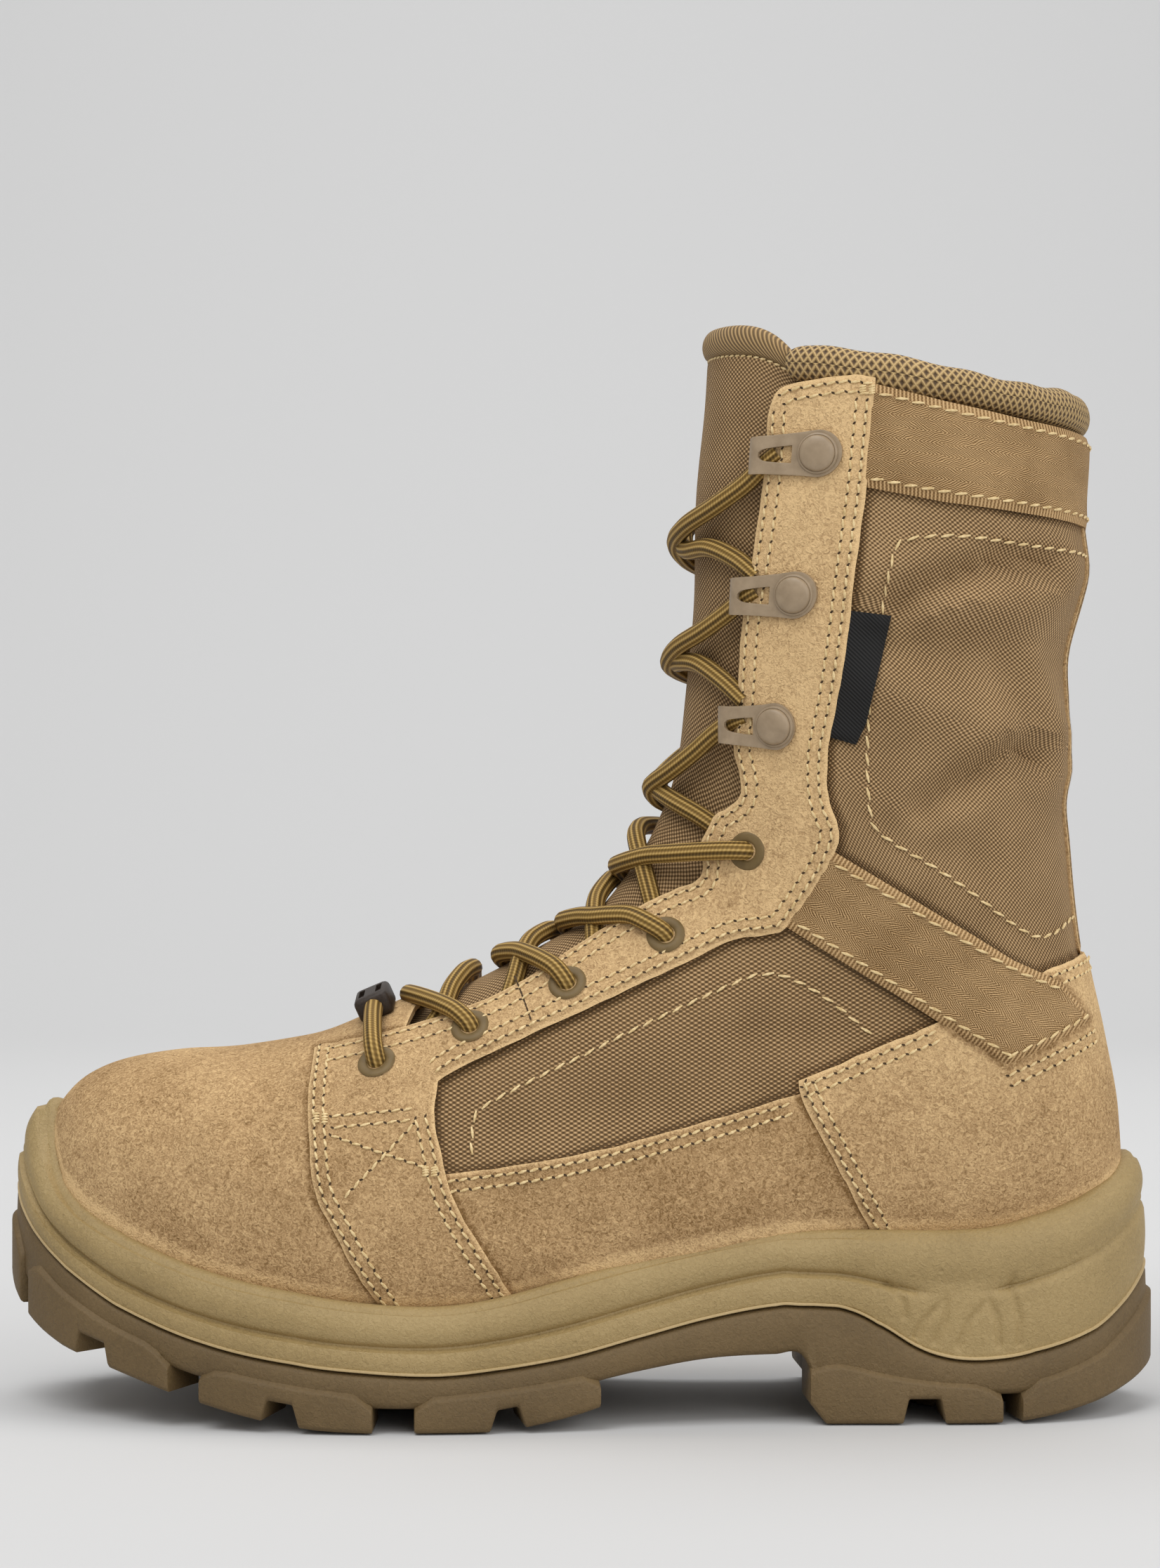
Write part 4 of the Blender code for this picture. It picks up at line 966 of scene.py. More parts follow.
run = np.cumsum(np.linalg.norm(np.diff(ring, axis=1, prepend=ring[:, :1]), axis=-1), axis=1)
rise = np.cumsum(np.linalg.norm(np.diff(ring, axis=0, prepend=ring[:1]), axis=-1), axis=0)
cap_seam = ring[CAP_SEAM, 2:-2]
cap_normals = normals.reshape(ring.shape)[CAP_SEAM, 2:-2]
run -= run[:, [TONGUE_COLUMNS // 2]]
rise = np.broadcast_to(rise[:, [TONGUE_COLUMNS // 2]], run.shape)
chart(tongue, np.stack([run.ravel(), rise.ravel()], -1))
tongue.data.materials.append(bpy.data.materials["tongue_cloth"])
tongue.data.materials.append(twill)
cap = along[face_corners(tongue)].mean(1)
capped = (cap > CAP_START) & (cap < CAP_STOP)
tongue.data.polygons.foreach_set("material_index", capped.astype(np.int32))
settle(tongue, "tongue_nylon", "tongue")

# Collar roll: soft foam in open diamond mesh. It is sewn to the wall's top edge, and runs from one
# eyestay round the back to the other.
lattice, taken, given = effect(
    "diamond_mesh", [("Cloth", "NodeSocketVector"), ("Cell", "NodeSocketFloat")], ["Strand"]
)
apart = add_node(lattice, "ShaderNodeSeparateXYZ", {0: taken["Cloth"]})
across = sum_up(lattice, "DIVIDE", apart.outputs["X"], taken["Cell"])
along = sum_up(lattice, "DIVIDE", apart.outputs["Y"], sum_up(lattice, "MULTIPLY", taken["Cell"], 1.7))
strands = []
for sign in (1.0, -1.0):
    slant = sum_up(lattice, "FRACT", sum_up(lattice, "MULTIPLY_ADD", along, sign, across))
    gap = sum_up(lattice, "ABSOLUTE", sum_up(lattice, "SUBTRACT", slant, 0.5))
    strands.append(sum_up(lattice, "MULTIPLY", gap, 2.0))
lattice.links.new(sum_up(lattice, "MAXIMUM", *strands), given["Strand"])

tree = new_material("collar_mesh_cloth")
strand = use(tree, lattice, {"Cloth": place_of(tree, "cloth"), "Cell": 1.9})["Strand"]
colour = ramp(
    tree, strand, [(0.4, (0.085, 0.047, 0.017)), (0.62, (0.3, 0.185, 0.072)), (0.92, (0.6, 0.415, 0.18))]
)
mesh_cloth = finish_of("collar_mesh_cloth", colour, 0.7, strand, 0.9, 0.0009)
roll, share = grid("collar_roll_mesh", 220, 28)
angle = 53 + 254 * share[:, 0]
around = np.radians(share[:, 1] * 360)
taper = np.clip(np.minimum(share[:, 0], 1 - share[:, 0]) / 0.025, 0, 1)
taper = 0.35 + 0.65 * np.sqrt(1 - (1 - taper) ** 2)
ripple = 0.14 * np.sin(angle * 0.31) + 0.3 * np.sin(angle * 0.083 + 1) + 0.2 * np.sin(angle * 0.047)
spine_row = np.full(len(angle), 22.86)
spine, outward = last_point(spine_row, angle), last_normal(spine_row, angle)
upward = last_point(np.full(len(angle), 23.0), angle) - last_point(np.full(len(angle), 22.7), angle)
upward /= np.linalg.norm(upward, axis=-1, keepdims=True)
put(
    roll,
    spine
    + outward * (-3.0 + 4.9 * taper * np.cos(around))[:, None]
    + upward * (0.4 + ripple + (5.0 + ripple) * taper * np.sin(around))[:, None],
)
chart(roll, np.stack([angle * 0.82, share[:, 1] * 31.2], -1))
roll.data.materials.append(mesh_cloth)
close_seams()
settle(roll, "collar_mesh", "collar_roll")

# Sewing: pale twisted thread. Suede is sewn with two rows along each edge, with dark needle holes
# between the stitches, and nylon and webbing with one row of longer stitches.
bpy.ops.mesh.primitive_uv_sphere_add(segments=6, ring_count=4, radius=1)
stitch = bpy.context.object
stitch_points = corners_of(stitch)
stitch_faces = [tuple(face.vertices) for face in stitch.data.polygons]
bpy.ops.object.delete()
bpy.ops.mesh.primitive_circle_add(vertices=7, radius=1, fill_type="TRIFAN")
hole = bpy.context.object
hole_points = corners_of(hole)
hole_faces = [tuple(face.vertices) for face in hole.data.polygons]
bpy.ops.object.delete()
threads, holes = [], []
BACK_ROWS = np.arange(15.5, 22.9, 0.05)


def run_of(spots):
    """How far along a path of points each one lies."""
    return np.concatenate([[0], np.cumsum(np.linalg.norm(np.diff(spots, axis=0), axis=1))])


def sample(places, run, spots):
    """The points that lie this far along a path."""
    return np.stack([np.interp(places, run, spots[:, axis]) for axis in range(3)], -1)


def lay_stitches(spots, normals, pitch, side, holed, threaded):
    """Even stitches, or the dark marks of a joint, along a path of points."""
    run = run_of(spots)
    count = int(run[-1] / pitch)
    for number in range(count):
        first, middle, final = (
            sample(run[-1] * (number + part) / count, run, spots) for part in (0.1, 0.5, 0.9)
        )
        up = sample(run[-1] * (number + 0.5) / count, run, normals)
        ahead = final - first
        length = np.linalg.norm(ahead)
        if length < 0.5:
            continue
        ahead /= length
        cross = np.cross(up, ahead)
        cross /= np.linalg.norm(cross)
        slant = ahead + cross * 0.2 * side
        slant /= np.linalg.norm(slant)
        if threaded:
            threads.append((middle + up * 0.15, slant, np.cross(up, slant), up, length * 0.54, 0.41))
        else:
            holes.append((middle + up * 0.06, ahead, cross, up, length * 0.75, 0.26))
        if holed:
            start = first - ahead * 0.1 * pitch
            lean = ahead - cross * 0.6 * side
            lean /= np.linalg.norm(lean)
            holes.append((start + up * 0.06, lean, np.cross(up, lean), up, 0.62, 0.3))


def sew(line, lift, pitch=3.0, inset=0.0, holed=True, threaded=True, spread=True, back=(None, None)):
    """Stitches along a side-view line, moved sideways by an inset, on the outer and inner sides.

    Either end may go on round the back to an angle.
    """
    line = rounded(line) if spread else np.array(line, float)
    line = filled(line, 0.8)
    along = np.gradient(line, axis=0)
    along /= np.maximum(np.linalg.norm(along, axis=1, keepdims=True), 1e-9)
    line = line + np.stack([-along[:, 1], along[:, 0]], -1) * inset
    path = on_side(line, 50.0)
    for end, angle in enumerate(back):
        if angle:
            heights = last_point(BACK_ROWS, np.full(len(BACK_ROWS), angle))[:, 2]
            stop = (np.interp(line[-end, 1], heights, BACK_ROWS), angle)
            more = np.linspace(path[-end], stop, 12)[1:]
            path = np.concatenate([path, more] if end else [more[::-1], path])
    for side in (1, -1):
        row, angle = path[:, 0], path[:, 1] * side
        base = last_point(row, angle)
        high = lift(base) if callable(lift) else np.full(len(base), lift)
        normals = last_normal(row, angle)
        spots = base + normals * (high + softness(base))[:, None]
        lay_stitches(spots, normals, pitch, side, holed, threaded)


def sewn_piece(name, template, faces, places, flat):
    """All the stitches or holes as one mesh."""
    points = []
    for middle, ahead, cross, up, length, width in places:
        local = template * (length, width, flat)
        points.append(middle + local[:, :1] * ahead + local[:, 1:2] * cross + local[:, 2:] * up)
    every = np.concatenate(points) * 0.001
    size = len(template)
    corners = [
        tuple(size * number + corner for corner in face)
        for number in range(len(places))
        for face in faces
    ]
    mesh = bpy.data.meshes.new(name)
    mesh.from_pydata(every.tolist(), [], corners)
    piece = bpy.data.objects.new(name, mesh)
    bpy.context.scene.collection.objects.link(piece)
    return piece


for inset in (1.8, 4.4):
    sew(STAY_FRONT, STAY_HIGH, inset=inset)
    sew(STAY_REAR, STAY_HIGH, inset=-inset)
    sew(STAY_TOP[2:], STAY_HIGH, inset=-inset)
    sew(STRAP_FRONT, STAY_HIGH, inset=inset)
    sew(STRAP_REAR[1:], STAY_HIGH, inset=-inset)
    sew(COUNTER_FRONT, COUNTER_HIGH, inset=inset)
    sew(COUNTER_TOP[:4], COUNTER_HIGH, inset=-inset)
    sew(COUNTER_TOP[4:], COUNTER_HIGH, inset=-inset)
    sew(FOXING_TOP[1:-1], FOXING_HIGH, inset=-inset)
for start, stop in (
    ((-64, 77.4), (-42.8, 79.9)),
    ((-63.5, 74.8), (-43.3, 77.2)),
    ((-64, 73.1), (-39.3, 65.8)),
    ((-42.7, 76.4), (-60.5, 58.2)),
    ((109.4, 89.2), (132.5, 99.4)),
    ((110.4, 86.6), (133, 96.6)),
):
    sew([start, stop], STAY_HIGH, spread=False)
sew([(-16.8, 112.2), (-15.0, 108.2), (-12.7, 101.8)], STAY_HIGH, 1.4, holed=False, threaded=False)
for x, z in ((-66.6, 76.8), (-38.7, 65), (73.4, 265)):
    for rise in (-0.9, -0.3, 0.3, 0.9):
        sew([(x - 2.2, z + rise), (x + 2.2, z + rise)], STAY_HIGH + 0.2, 2.2, holed=False, spread=False)
SHAFT_SEAM = [
    (131, 224.6), (110.2, 226.4), (95.9, 228.2), (83, 227.3), (79.9, 225), (76.7, 208), (73.1, 179.7),
    (73.9, 156), (77, 150.6), (94.4, 141), (115.5, 124.5), (122.6, 124.6), (129, 129),
]
QUARTER_SEAM = [
    (-28.3, 68.9), (-28, 79.2), (-24.5, 82.2), (8.8, 98.6), (42, 114), (47.8, 115.2), (53.5, 114.5),
    (64, 108.7), (75.1, 99.2),
]
sew(SHAFT_SEAM, 0.25, 4.4, holed=False, back=(168, 168))
sew(QUARTER_SEAM, 0.25, 4.2, holed=False)
for line, pitch, inset in (
    (ANKLE_TOP[1:], 4.4, -2.4),
    (ANKLE_LOW[:-1], 4.4, -2.4),
    (ANKLE_END[1:], 4.0, -2.2),
):
    sew(line, lambda base: ankle_lift(base) + 0.15, pitch, inset, holed=False)
sew(BAND_TOP[1:], 1.9, 4.2, -2.2, holed=False, back=(None, 180))
sew(BAND_LOW[:-1], 1.9, 4.2, -2.4, holed=False, back=(180, None))
lay_stitches(cap_seam + cap_normals * 0.1, cap_normals, 2.3, 1, False, True)
rows = np.linspace(18.0, 21.8, 60)
for side in (1, -1):
    turn = np.full(len(rows), 168.7 * side)
    lay_stitches(skin(rows, turn, 1.15), last_normal(rows, turn), 1.6, side, False, False)
tree = new_material("pale_thread")
slow = use(tree, mottle, {"Place": place_of(tree), "Size": 900.0})
colour = ramp(tree, slow["Tone"], [(0.3, (0.52, 0.36, 0.15)), (0.7, (0.82, 0.64, 0.35))])
thread = finish_of("pale_thread", colour, 0.6, slow["Tone"], 0.3, 0.0002)
tree = new_material("needle_hole")
slow = use(tree, mottle, {"Place": place_of(tree), "Size": 600.0})
colour = ramp(tree, slow["Tone"], [(0.3, (0.03, 0.016, 0.006)), (0.7, (0.07, 0.038, 0.014))])
pierced = finish_of("needle_hole", colour, 0.95)
sewing = sewn_piece("stitches", stitch_points, stitch_faces, threads, 0.36)
sewing.data.materials.append(thread)
settle(sewing, "suede_tan")
pricks = sewn_piece("needle_holes", hole_points, hole_faces, holes, 1.0)
pricks.data.materials.append(pierced)
settle(pricks, "suede_tan")

# Eyelets and hooks: stamped metal in a matt coat, olive on the eyelets and taupe on the hooks. Five
# eyelets a side are set through the eyestay. Above them three hooks a side are slotted plates under
# a domed stud, curled at the nose.
for name, colours, shine in (
    ("olive_coat", ((0.13, 0.086, 0.033), (0.18, 0.122, 0.052)), 0.2),
    ("taupe_coat", ((0.26, 0.188, 0.114), (0.345, 0.255, 0.162)), 0.5),
):
    tree = new_material(name)
    slow = use(tree, mottle, {"Place": place_of(tree), "Size": 260.0})
    fine = use(tree, mottle, {"Place": place_of(tree), "Size": 2600.0})
    colour = ramp(tree, slow["Tone"], [(0.3, colours[0]), (0.7, colours[1])])
    gloss = sum_up(tree, "MULTIPLY_ADD", slow["Tone"], 0.2, 0.34)
    finish_of(name, colour, gloss, fine["Tone"], 0.08, 0.0002, Specular_IOR_Level=shine)
EYELETS = [(7.97, 40), (9.24, 38), (10.48, 37), (12.22, 43), (15.27, 48)]
HOOKS = [(18.41, 57), (20.28, 62), (21.94, 66)]
STUD_RADIUS = 4.7


def seat(row, angle, lift):
    """A place on the last with directions across, along and outwards."""
    middle, outward = skin(row, angle, lift), last_normal(row, angle)
    across = last_point(row, angle + 1) - last_point(row, angle - 1)
    across = across / np.linalg.norm(across)
    return middle, across, np.cross(outward, across), outward


def seated(piece, place):
    """Turns a piece modelled flat at the origin, in millimetres, onto its seat."""
    middle, across, along, outward = place
    local = corners_of(piece)
    put(piece, middle + local[:, :1] * across + local[:, 1:2] * along + local[:, 2:] * outward)


bpy.ops.mesh.primitive_torus_add(
    major_radius=3.75, minor_radius=1.3, major_segments=36, minor_segments=12
)
washer = bpy.context.object
bpy.ops.transform.resize(value=(1, 1, 0.32))
bpy.ops.object.transform_apply(scale=True)
bpy.ops.mesh.primitive_cylinder_add(
    vertices=36, radius=2.55, depth=4.4, end_fill_type="NOTHING", location=(0, 0, -2.2)
)
barrel = bpy.context.object
bpy.ops.object.transform_apply(location=True)
barrel.data.flip_normals()
washer.select_set(True)
bpy.context.view_layer.objects.active = washer
bpy.ops.object.join()
for side, word in ((1, "outer"), (-1, "inner")):
    for number, (row, angle) in enumerate(EYELETS, 1):
        eyelet = bpy.data.objects.new(f"eyelet_{word}_{number}_ring", washer.data.copy())
        bpy.context.scene.collection.objects.link(eyelet)
        seated(eyelet, seat(np.float64(row), np.float64(angle * side), STAY_HIGH + 0.1))
        eyelet.data.materials.append(bpy.data.materials["olive_coat"])
        settle(eyelet, "metal_taupe", f"eyelet_{word}_{number}")
bpy.data.objects.remove(washer)

turns = np.radians(np.arange(90, 271, 12))
HOOK_PLATE = np.concatenate(
    [
        np.stack([6.0 * np.cos(turns), 6.1 * np.sin(turns)], -1),
        [(4, -5.6), (9, -5.2), (14, -4.9), (17.6, -4.8), (18.8, -4.5), (19.5, -3.8), (19.8, -2.6)],
        [(19.8, 2.6), (19.5, 3.8), (18.8, 4.5), (17.6, 4.8), (14, 4.9), (9, 5.2), (4, 5.6)],
    ]
)
HOOK_SLOT = np.array(
    [
        (6.7, -2.3), (6.6, 2.3), (9.8, 2.1), (13, 1.7), (14.4, 1.3), (15.2, 0.6), (15.3, 0),
        (15.2, -0.6), (14.4, -1.3), (13, -1.7), (9.8, -2.1),
    ]
)
# Columns: along the plate from its stud, lift.
HOOK_RISE = np.array(
    [
        (-6.2, 3.9), (6, 3.9), (11, 4.5), (14.5, 5.5), (16, 5.6), (17.3, 5.2), (18.6, 4.2), (19.4, 3.1),
        (19.8, 2.2),
    ]
)
for side, word in ((1, "outer"), (-1, "inner")):
    for number, (row, angle) in enumerate(HOOKS, 1):
        hook, spots, _ = cut_sheet(f"hook_{word}_{number}_plate", [HOOK_PLATE, HOOK_SLOT], 0.55)
        step = np.linalg.norm(last_point(row, angle) - last_point(row, angle - 1.0))
        fall = last_point(row, angle + 1.0)[2] - last_point(row, angle - 1.0)[2]
        climb = last_point(row + 0.1, angle)[2] - last_point(row - 0.1, angle)[2]
        turn = side * (angle - spots[:, 0] / step)
        rows = row + 0.1 * spots[:, 0] / step * fall / climb
        upward = last_point(rows + 0.1, turn) - last_point(rows - 0.1, turn)
        upward /= np.linalg.norm(upward, axis=-1, keepdims=True)
        lift = np.interp(spots[:, 0], HOOK_RISE[:, 0], HOOK_RISE[:, 1])
        put(hook, skin(rows, turn, lift) + upward * spots[:, 1:2])
        normals = np.empty(len(hook.data.polygons) * 3)
        hook.data.polygons.foreach_get("normal", normals)
        if (normals.reshape(-1, 3) * last_normal(rows, turn)[face_corners(hook)[:, 0]]).sum() < 0:
            hook.data.flip_normals()
        thicken(hook, 1.1, False)
        soft_edge = hook.modifiers.new("soft_edge", "BEVEL")
        soft_edge.width = 0.0003
        soft_edge.segments = 2
        bpy.ops.object.modifier_apply(modifier="soft_edge")
        bpy.ops.mesh.primitive_uv_sphere_add(segments=32, ring_count=16, radius=STUD_RADIUS)
        stud = bpy.context.object
        local = corners_of(stud)
        local[:, 2] = np.sign(local[:, 2]) * (np.abs(local[:, 2]) / STUD_RADIUS) ** 0.6 * 1.6
        stud.data.vertices.foreach_set("co", local.ravel())
        seated(stud, seat(np.float64(row), np.float64(angle * side), 4.3))
        bpy.ops.mesh.primitive_torus_add(
            major_radius=4.9, minor_radius=0.5, major_segments=36, minor_segments=8
        )
        collar = bpy.context.object
        seated(collar, seat(np.float64(row), np.float64(angle * side), 3.95))
        bpy.ops.object.select_all(action="DESELECT")
        for part in (stud, collar, hook):
            part.select_set(True)
        bpy.context.view_layer.objects.active = hook
        bpy.ops.object.join()
        hook.data.materials.clear()
        hook.data.materials.append(bpy.data.materials["taupe_coat"])
        settle(hook, "metal_taupe", f"hook_{word}_{number}")

# Lace: a round golden braid with dark stripes. It is a bar between the first eyelets, then crosses
# from under one side to the eyelet or hook above on the other. Columns: row, angle, lift.
tree = new_material("lace_braid")
cloth = add_node(tree, "ShaderNodeSeparateXYZ", {0: place_of(tree, "cloth")})
rows = sum_up(tree, "COSINE", sum_up(tree, "MULTIPLY", cloth.outputs["X"], 2 * math.pi * 10))
slope = sum_up(tree, "MULTIPLY", cloth.outputs["Y"], 6.6)
slope = sum_up(tree, "MULTIPLY_ADD", cloth.outputs["X"], 2 * math.pi * 5, slope)
braid = sum_up(tree, "MULTIPLY_ADD", sum_up(tree, "SINE", slope), 0.13, 0.5)
braid = sum_up(tree, "MULTIPLY_ADD", rows, 0.36, braid)
stripe = sum_up(tree, "SINE", sum_up(tree, "MULTIPLY", cloth.outputs["X"], 2 * math.pi * 5))
stripe = fade(tree, stripe, 0.3, 0.9, 0.0, 0.24)
tone = sum_up(tree, "SUBTRACT", sum_up(tree, "MULTIPLY_ADD", braid, 0.72, 0.22), stripe)
colour = ramp(
    tree, tone, [(0.0, (0.06, 0.034, 0.008)), (0.5, (0.215, 0.124, 0.028)), (1.0, (0.58, 0.385, 0.13))]
)
lace_cloth = finish_of("lace_braid", colour, 0.6, braid, 0.7, 0.0006, Specular_IOR_Level=0.2)
CROSSINGS = [
    (
        [
            (9.24, 38, 0.4), (9.23, 37, 3.4), (9.12, 33.5, 5.0), (8.98, 29.5, 4.8), (8.82, 24, 3.5),
            (8.6, 16, 2.6), (8.42, 7, 2.1), (8.36, 0, 1.6), (8.38, -9, 0.2), (8.5, -18, -1.2),
            (8.5, -30, -2.2),
        ],
        [
            (8.55, 31, -2.2), (8.83, 23, -0.8), (8.98, 13, 0.6), (9.15, 3, 1.4), (9.27, -8, 1.9),
            (9.27, -20, 4.3), (9.24, -31, 5.2), (9.24, -37, 3.4), (9.24, -38, 0.4),
        ],
    ),
    (
        [
            (10.48, 37, 0.4), (10.46, 36, 3.4), (10.38, 32.5, 5.0), (10.25, 28, 4.7), (10.1, 22, 3.4),
            (9.92, 14, 2.5), (9.73, 6, 2.1), (9.63, 0, 1.6), (9.66, -10, 0.2), (9.8, -20, -1.2),
            (9.8, -30, -2.2),
        ],
        [
            (9.62, 32, -2.2), (9.76, 24, -0.7), (9.9, 14, 0.7), (10.06, 4, 1.5), (10.28, -5, 1.8),
            (10.42, -14, 2.7), (10.47, -22, 4.6), (10.48, -30, 5.2), (10.48, -36, 3.4), (10.48, -37, 0.4),
        ],
    ),
    (
        [
            (12.22, 43, 0.4), (12.19, 42, 3.4), (12.04, 38.5, 5.0), (11.82, 33, 4.8), (11.5, 27, 3.8),
            (11.15, 20, 2.9), (10.9, 13, 2.3), (10.67, 6, 2.0), (10.57, 0, 1.6), (10.6, -9, 0.2),
            (10.8, -18, -1.2), (10.8, -30, -2.2),
        ],
        [
            (10.85, 33, -2.2), (10.95, 25, -0.8), (11.08, 14, 0.5), (11.25, 4, 1.2), (11.58, -5, 1.6),
            (11.88, -14, 2.5), (12.1, -25, 4.7), (12.2, -36, 5.2), (12.22, -42, 3.4), (12.22, -43, 0.4),
        ],
    ),
    (
        [
            (15.27, 48, 0.4), (15.2, 47, 3.4), (14.88, 43.5, 5.0), (14.35, 38, 5.0), (13.5, 29.5, 4.1),
            (12.95, 22.5, 3.1), (12.48, 15, 2.4), (12.14, 6, 2.0), (12.05, 0, 1.7), (12.05, -10, 0.3),
            (12.2, -22, -1.2), (12.3, -34, -2.2),
        ],
        [
            (12.2, 37, -2.2), (12.36, 29, -0.8), (12.6, 19, 0.3), (12.88, 8, 1.0), (13.12, -2, 1.4),
            (13.5, -12, 2.2), (14.1, -25, 4.4), (14.7, -36, 5.2), (15.05, -43.5, 5.0), (15.24, -47, 3.4),
            (15.27, -48, 0.4),
        ],
    ),
    (
        [
            (18.3, 47, 1.4), (18.05, 42, 1.6), (17.55, 35, 1.1), (16.8, 27, 1.1), (15.8, 17, 1.7),
            (14.95, 6, 2.0), (14.65, 0, 1.7), (14.5, -10, 0.3), (14.7, -22, -0.6), (15.0, -32, -1.6),
            (15.1, -42, -2.4),
        ],
        [
            (15.1, 42, -2.4), (15.0, 32, -1.4), (14.8, 20, -0.5), (14.7, 9, -0.5), (14.75, 0, -0.2),
            (15.2, -8, 0.9), (16.2, -20, 1.5), (17.1, -30, 1.2), (17.8, -39, 1.5), (18.3, -47, 1.4),
        ],
    ),
    (
        [
            (20.2, 50, 1.4), (20.05, 46, 1.6), (19.75, 39, 1.0), (19.35, 29, 1.1), (18.9, 14, 1.7),
            (18.55, 0, 1.9), (18.45, -12, 0.5), (18.5, -25, -0.3), (18.55, -38, 0.2), (18.5, -47, 1.4),
        ],
        [
            (18.5, 47, 1.4), (18.62, 38, 0.2), (18.7, 25, -0.4), (18.6, 12, -0.4), (18.55, 0, -0.2),
            (18.85, -15, 1.0), (19.35, -30, 1.1), (19.85, -42, 1.2), (20.2, -50, 1.4),
        ],
    ),
    (
        [
            (21.9, 54, 1.4), (21.75, 50, 1.6), (21.48, 43, 1.0), (21.15, 31, 1.1), (20.85, 15, 1.7),
            (20.63, 0, 2.0), (20.45, -12, 0.5), (20.4, -28, -0.3), (20.4, -41, 0.2), (20.35, -50, 1.4),
        ],
        [
            (20.35, 50, 1.4), (20.5, 41, 0.2), (20.58, 28, -0.4), (20.5, 12, -0.5), (20.57, 0, -0.4),
            (20.88, -15, 1.0), (21.2, -32, 1.1), (21.6, -46, 1.2), (21.9, -54, 1.4),
        ],
    ),
]
LACE_RADIUS = 2.5
LACE_BAR = [(7.97, 40, 0.4), (7.97, 39, 3.6), (7.96, 35, 5.3), (7.94, 24, 5.0), (7.93, 12, 4.2)]
LACE_BAR += [(7.93, 0, 3.8)] + [(row, -angle, lift) for row, angle, lift in LACE_BAR[::-1]]


def cord(name, path, radius, sides=14, step=1.1):
    """A round cord through points on the last, with a map round it and along it."""
    path = np.array(path, float)
    knots = last_point(path[:, 0], path[:, 1]) + last_normal(path[:, 0], path[:, 1]) * path[:, 2:]
    dense = row_of(knots, np.linspace(0, len(knots) - 1, 40 * len(knots)))
    run = run_of(dense)
    count = max(int(run[-1] / step), 4)
    line = sample(np.linspace(0, run[-1], count + 1), run, dense)
    ahead = np.gradient(line, axis=0)
    ahead /= np.linalg.norm(ahead, axis=1, keepdims=True)
    side = np.cross(ahead[0], (0.0, 0.0, 1.0))
    frames = []
    for direction in ahead:
        side = side - direction * (side @ direction)
        side = side / np.linalg.norm(side)
        frames.append((side, np.cross(direction, side)))
    piece, share = grid(name, sides, count)
    number = np.rint(share[:, 1] * count).astype(int)
    turn = share[:, 0] * 2 * math.pi
    first = np.array([pair[0] for pair in frames])[number]
    second = np.array([pair[1] for pair in frames])[number]
    put(piece, line[number] + radius * (first * np.cos(turn)[:, None] + second * np.sin(turn)[:, None]))
    chart(piece, np.stack([share[:, 0], share[:, 1] * run[-1]], -1))
    close_seams(0.00001)
    piece.data.materials.append(lace_cloth)
    return piece


bar = cord("lace_bar_cord", LACE_BAR, LACE_RADIUS)
settle(bar, "lace_brown", "lace_bar")
for number, (over, under) in enumerate(CROSSINGS, 1):
    for word, path in (("over", over), ("under", under)):
        strand = cord(f"lace_{word}_{number}", path, LACE_RADIUS)
        settle(strand, "lace_brown", f"lace_cross_{number}")

# Keeper: a small saddle of dark plastic, moulded with two slots in its top. It is threaded on the
# lace's first bar.
tree = new_material("dark_plastic")
fine = use(tree, mottle, {"Place": place_of(tree), "Size": 1800.0})
colour = ramp(tree, fine["Tone"], [(0.3, (0.016, 0.01, 0.007)), (0.7, (0.04, 0.026, 0.017))])
plastic = finish_of("dark_plastic", colour, 0.46, fine["Tone"], 0.15, 0.0002, Specular_IOR_Level=0.3)
bpy.ops.object.select_all(action="DESELECT")
bpy.ops.mesh.primitive_cube_add(size=1)
keeper = bpy.context.object
keeper.name = "lace_keeper_saddle"
bpy.ops.transform.resize(value=(9.6, 13.0, 6.6))
bpy.ops.object.transform_apply(scale=True)
bpy.ops.object.mode_set(mode="EDIT")
bpy.ops.mesh.select_all(action="SELECT")
bpy.ops.mesh.bevel(offset=1.5, segments=3, affect="EDGES")
bpy.ops.mesh.select_all(action="DESELECT")
bpy.ops.object.mode_set(mode="OBJECT")
for place in (-2.4, 2.4):
    bpy.ops.mesh.primitive_cube_add(size=1, location=(place, 0, 3.4))
    cutter = bpy.context.object
    bpy.ops.transform.resize(value=(1.6, 7.0, 2.4))
    bpy.ops.object.transform_apply(location=True, scale=True)
    slot_cut = keeper.modifiers.new("slot", "BOOLEAN")
    slot_cut.operation = "DIFFERENCE"
    slot_cut.object = cutter
    bpy.context.view_layer.objects.active = keeper
    bpy.ops.object.modifier_apply(modifier="slot")
    bpy.data.objects.remove(cutter)
middle, across, along, outward = seat(np.float64(7.93), np.float64(9.0), 4.1)
seated(keeper, (middle, along, across, outward))
bpy.ops.object.select_all(action="DESELECT")
keeper.select_set(True)
bpy.context.view_layer.objects.active = keeper
bpy.ops.object.mode_set(mode="EDIT")
bpy.ops.mesh.select_all(action="SELECT")
bpy.ops.mesh.normals_make_consistent(inside=False)
bpy.ops.object.mode_set(mode="OBJECT")
keeper.data.materials.append(plastic)
settle(keeper, "plastic_dark", "lace_keeper")

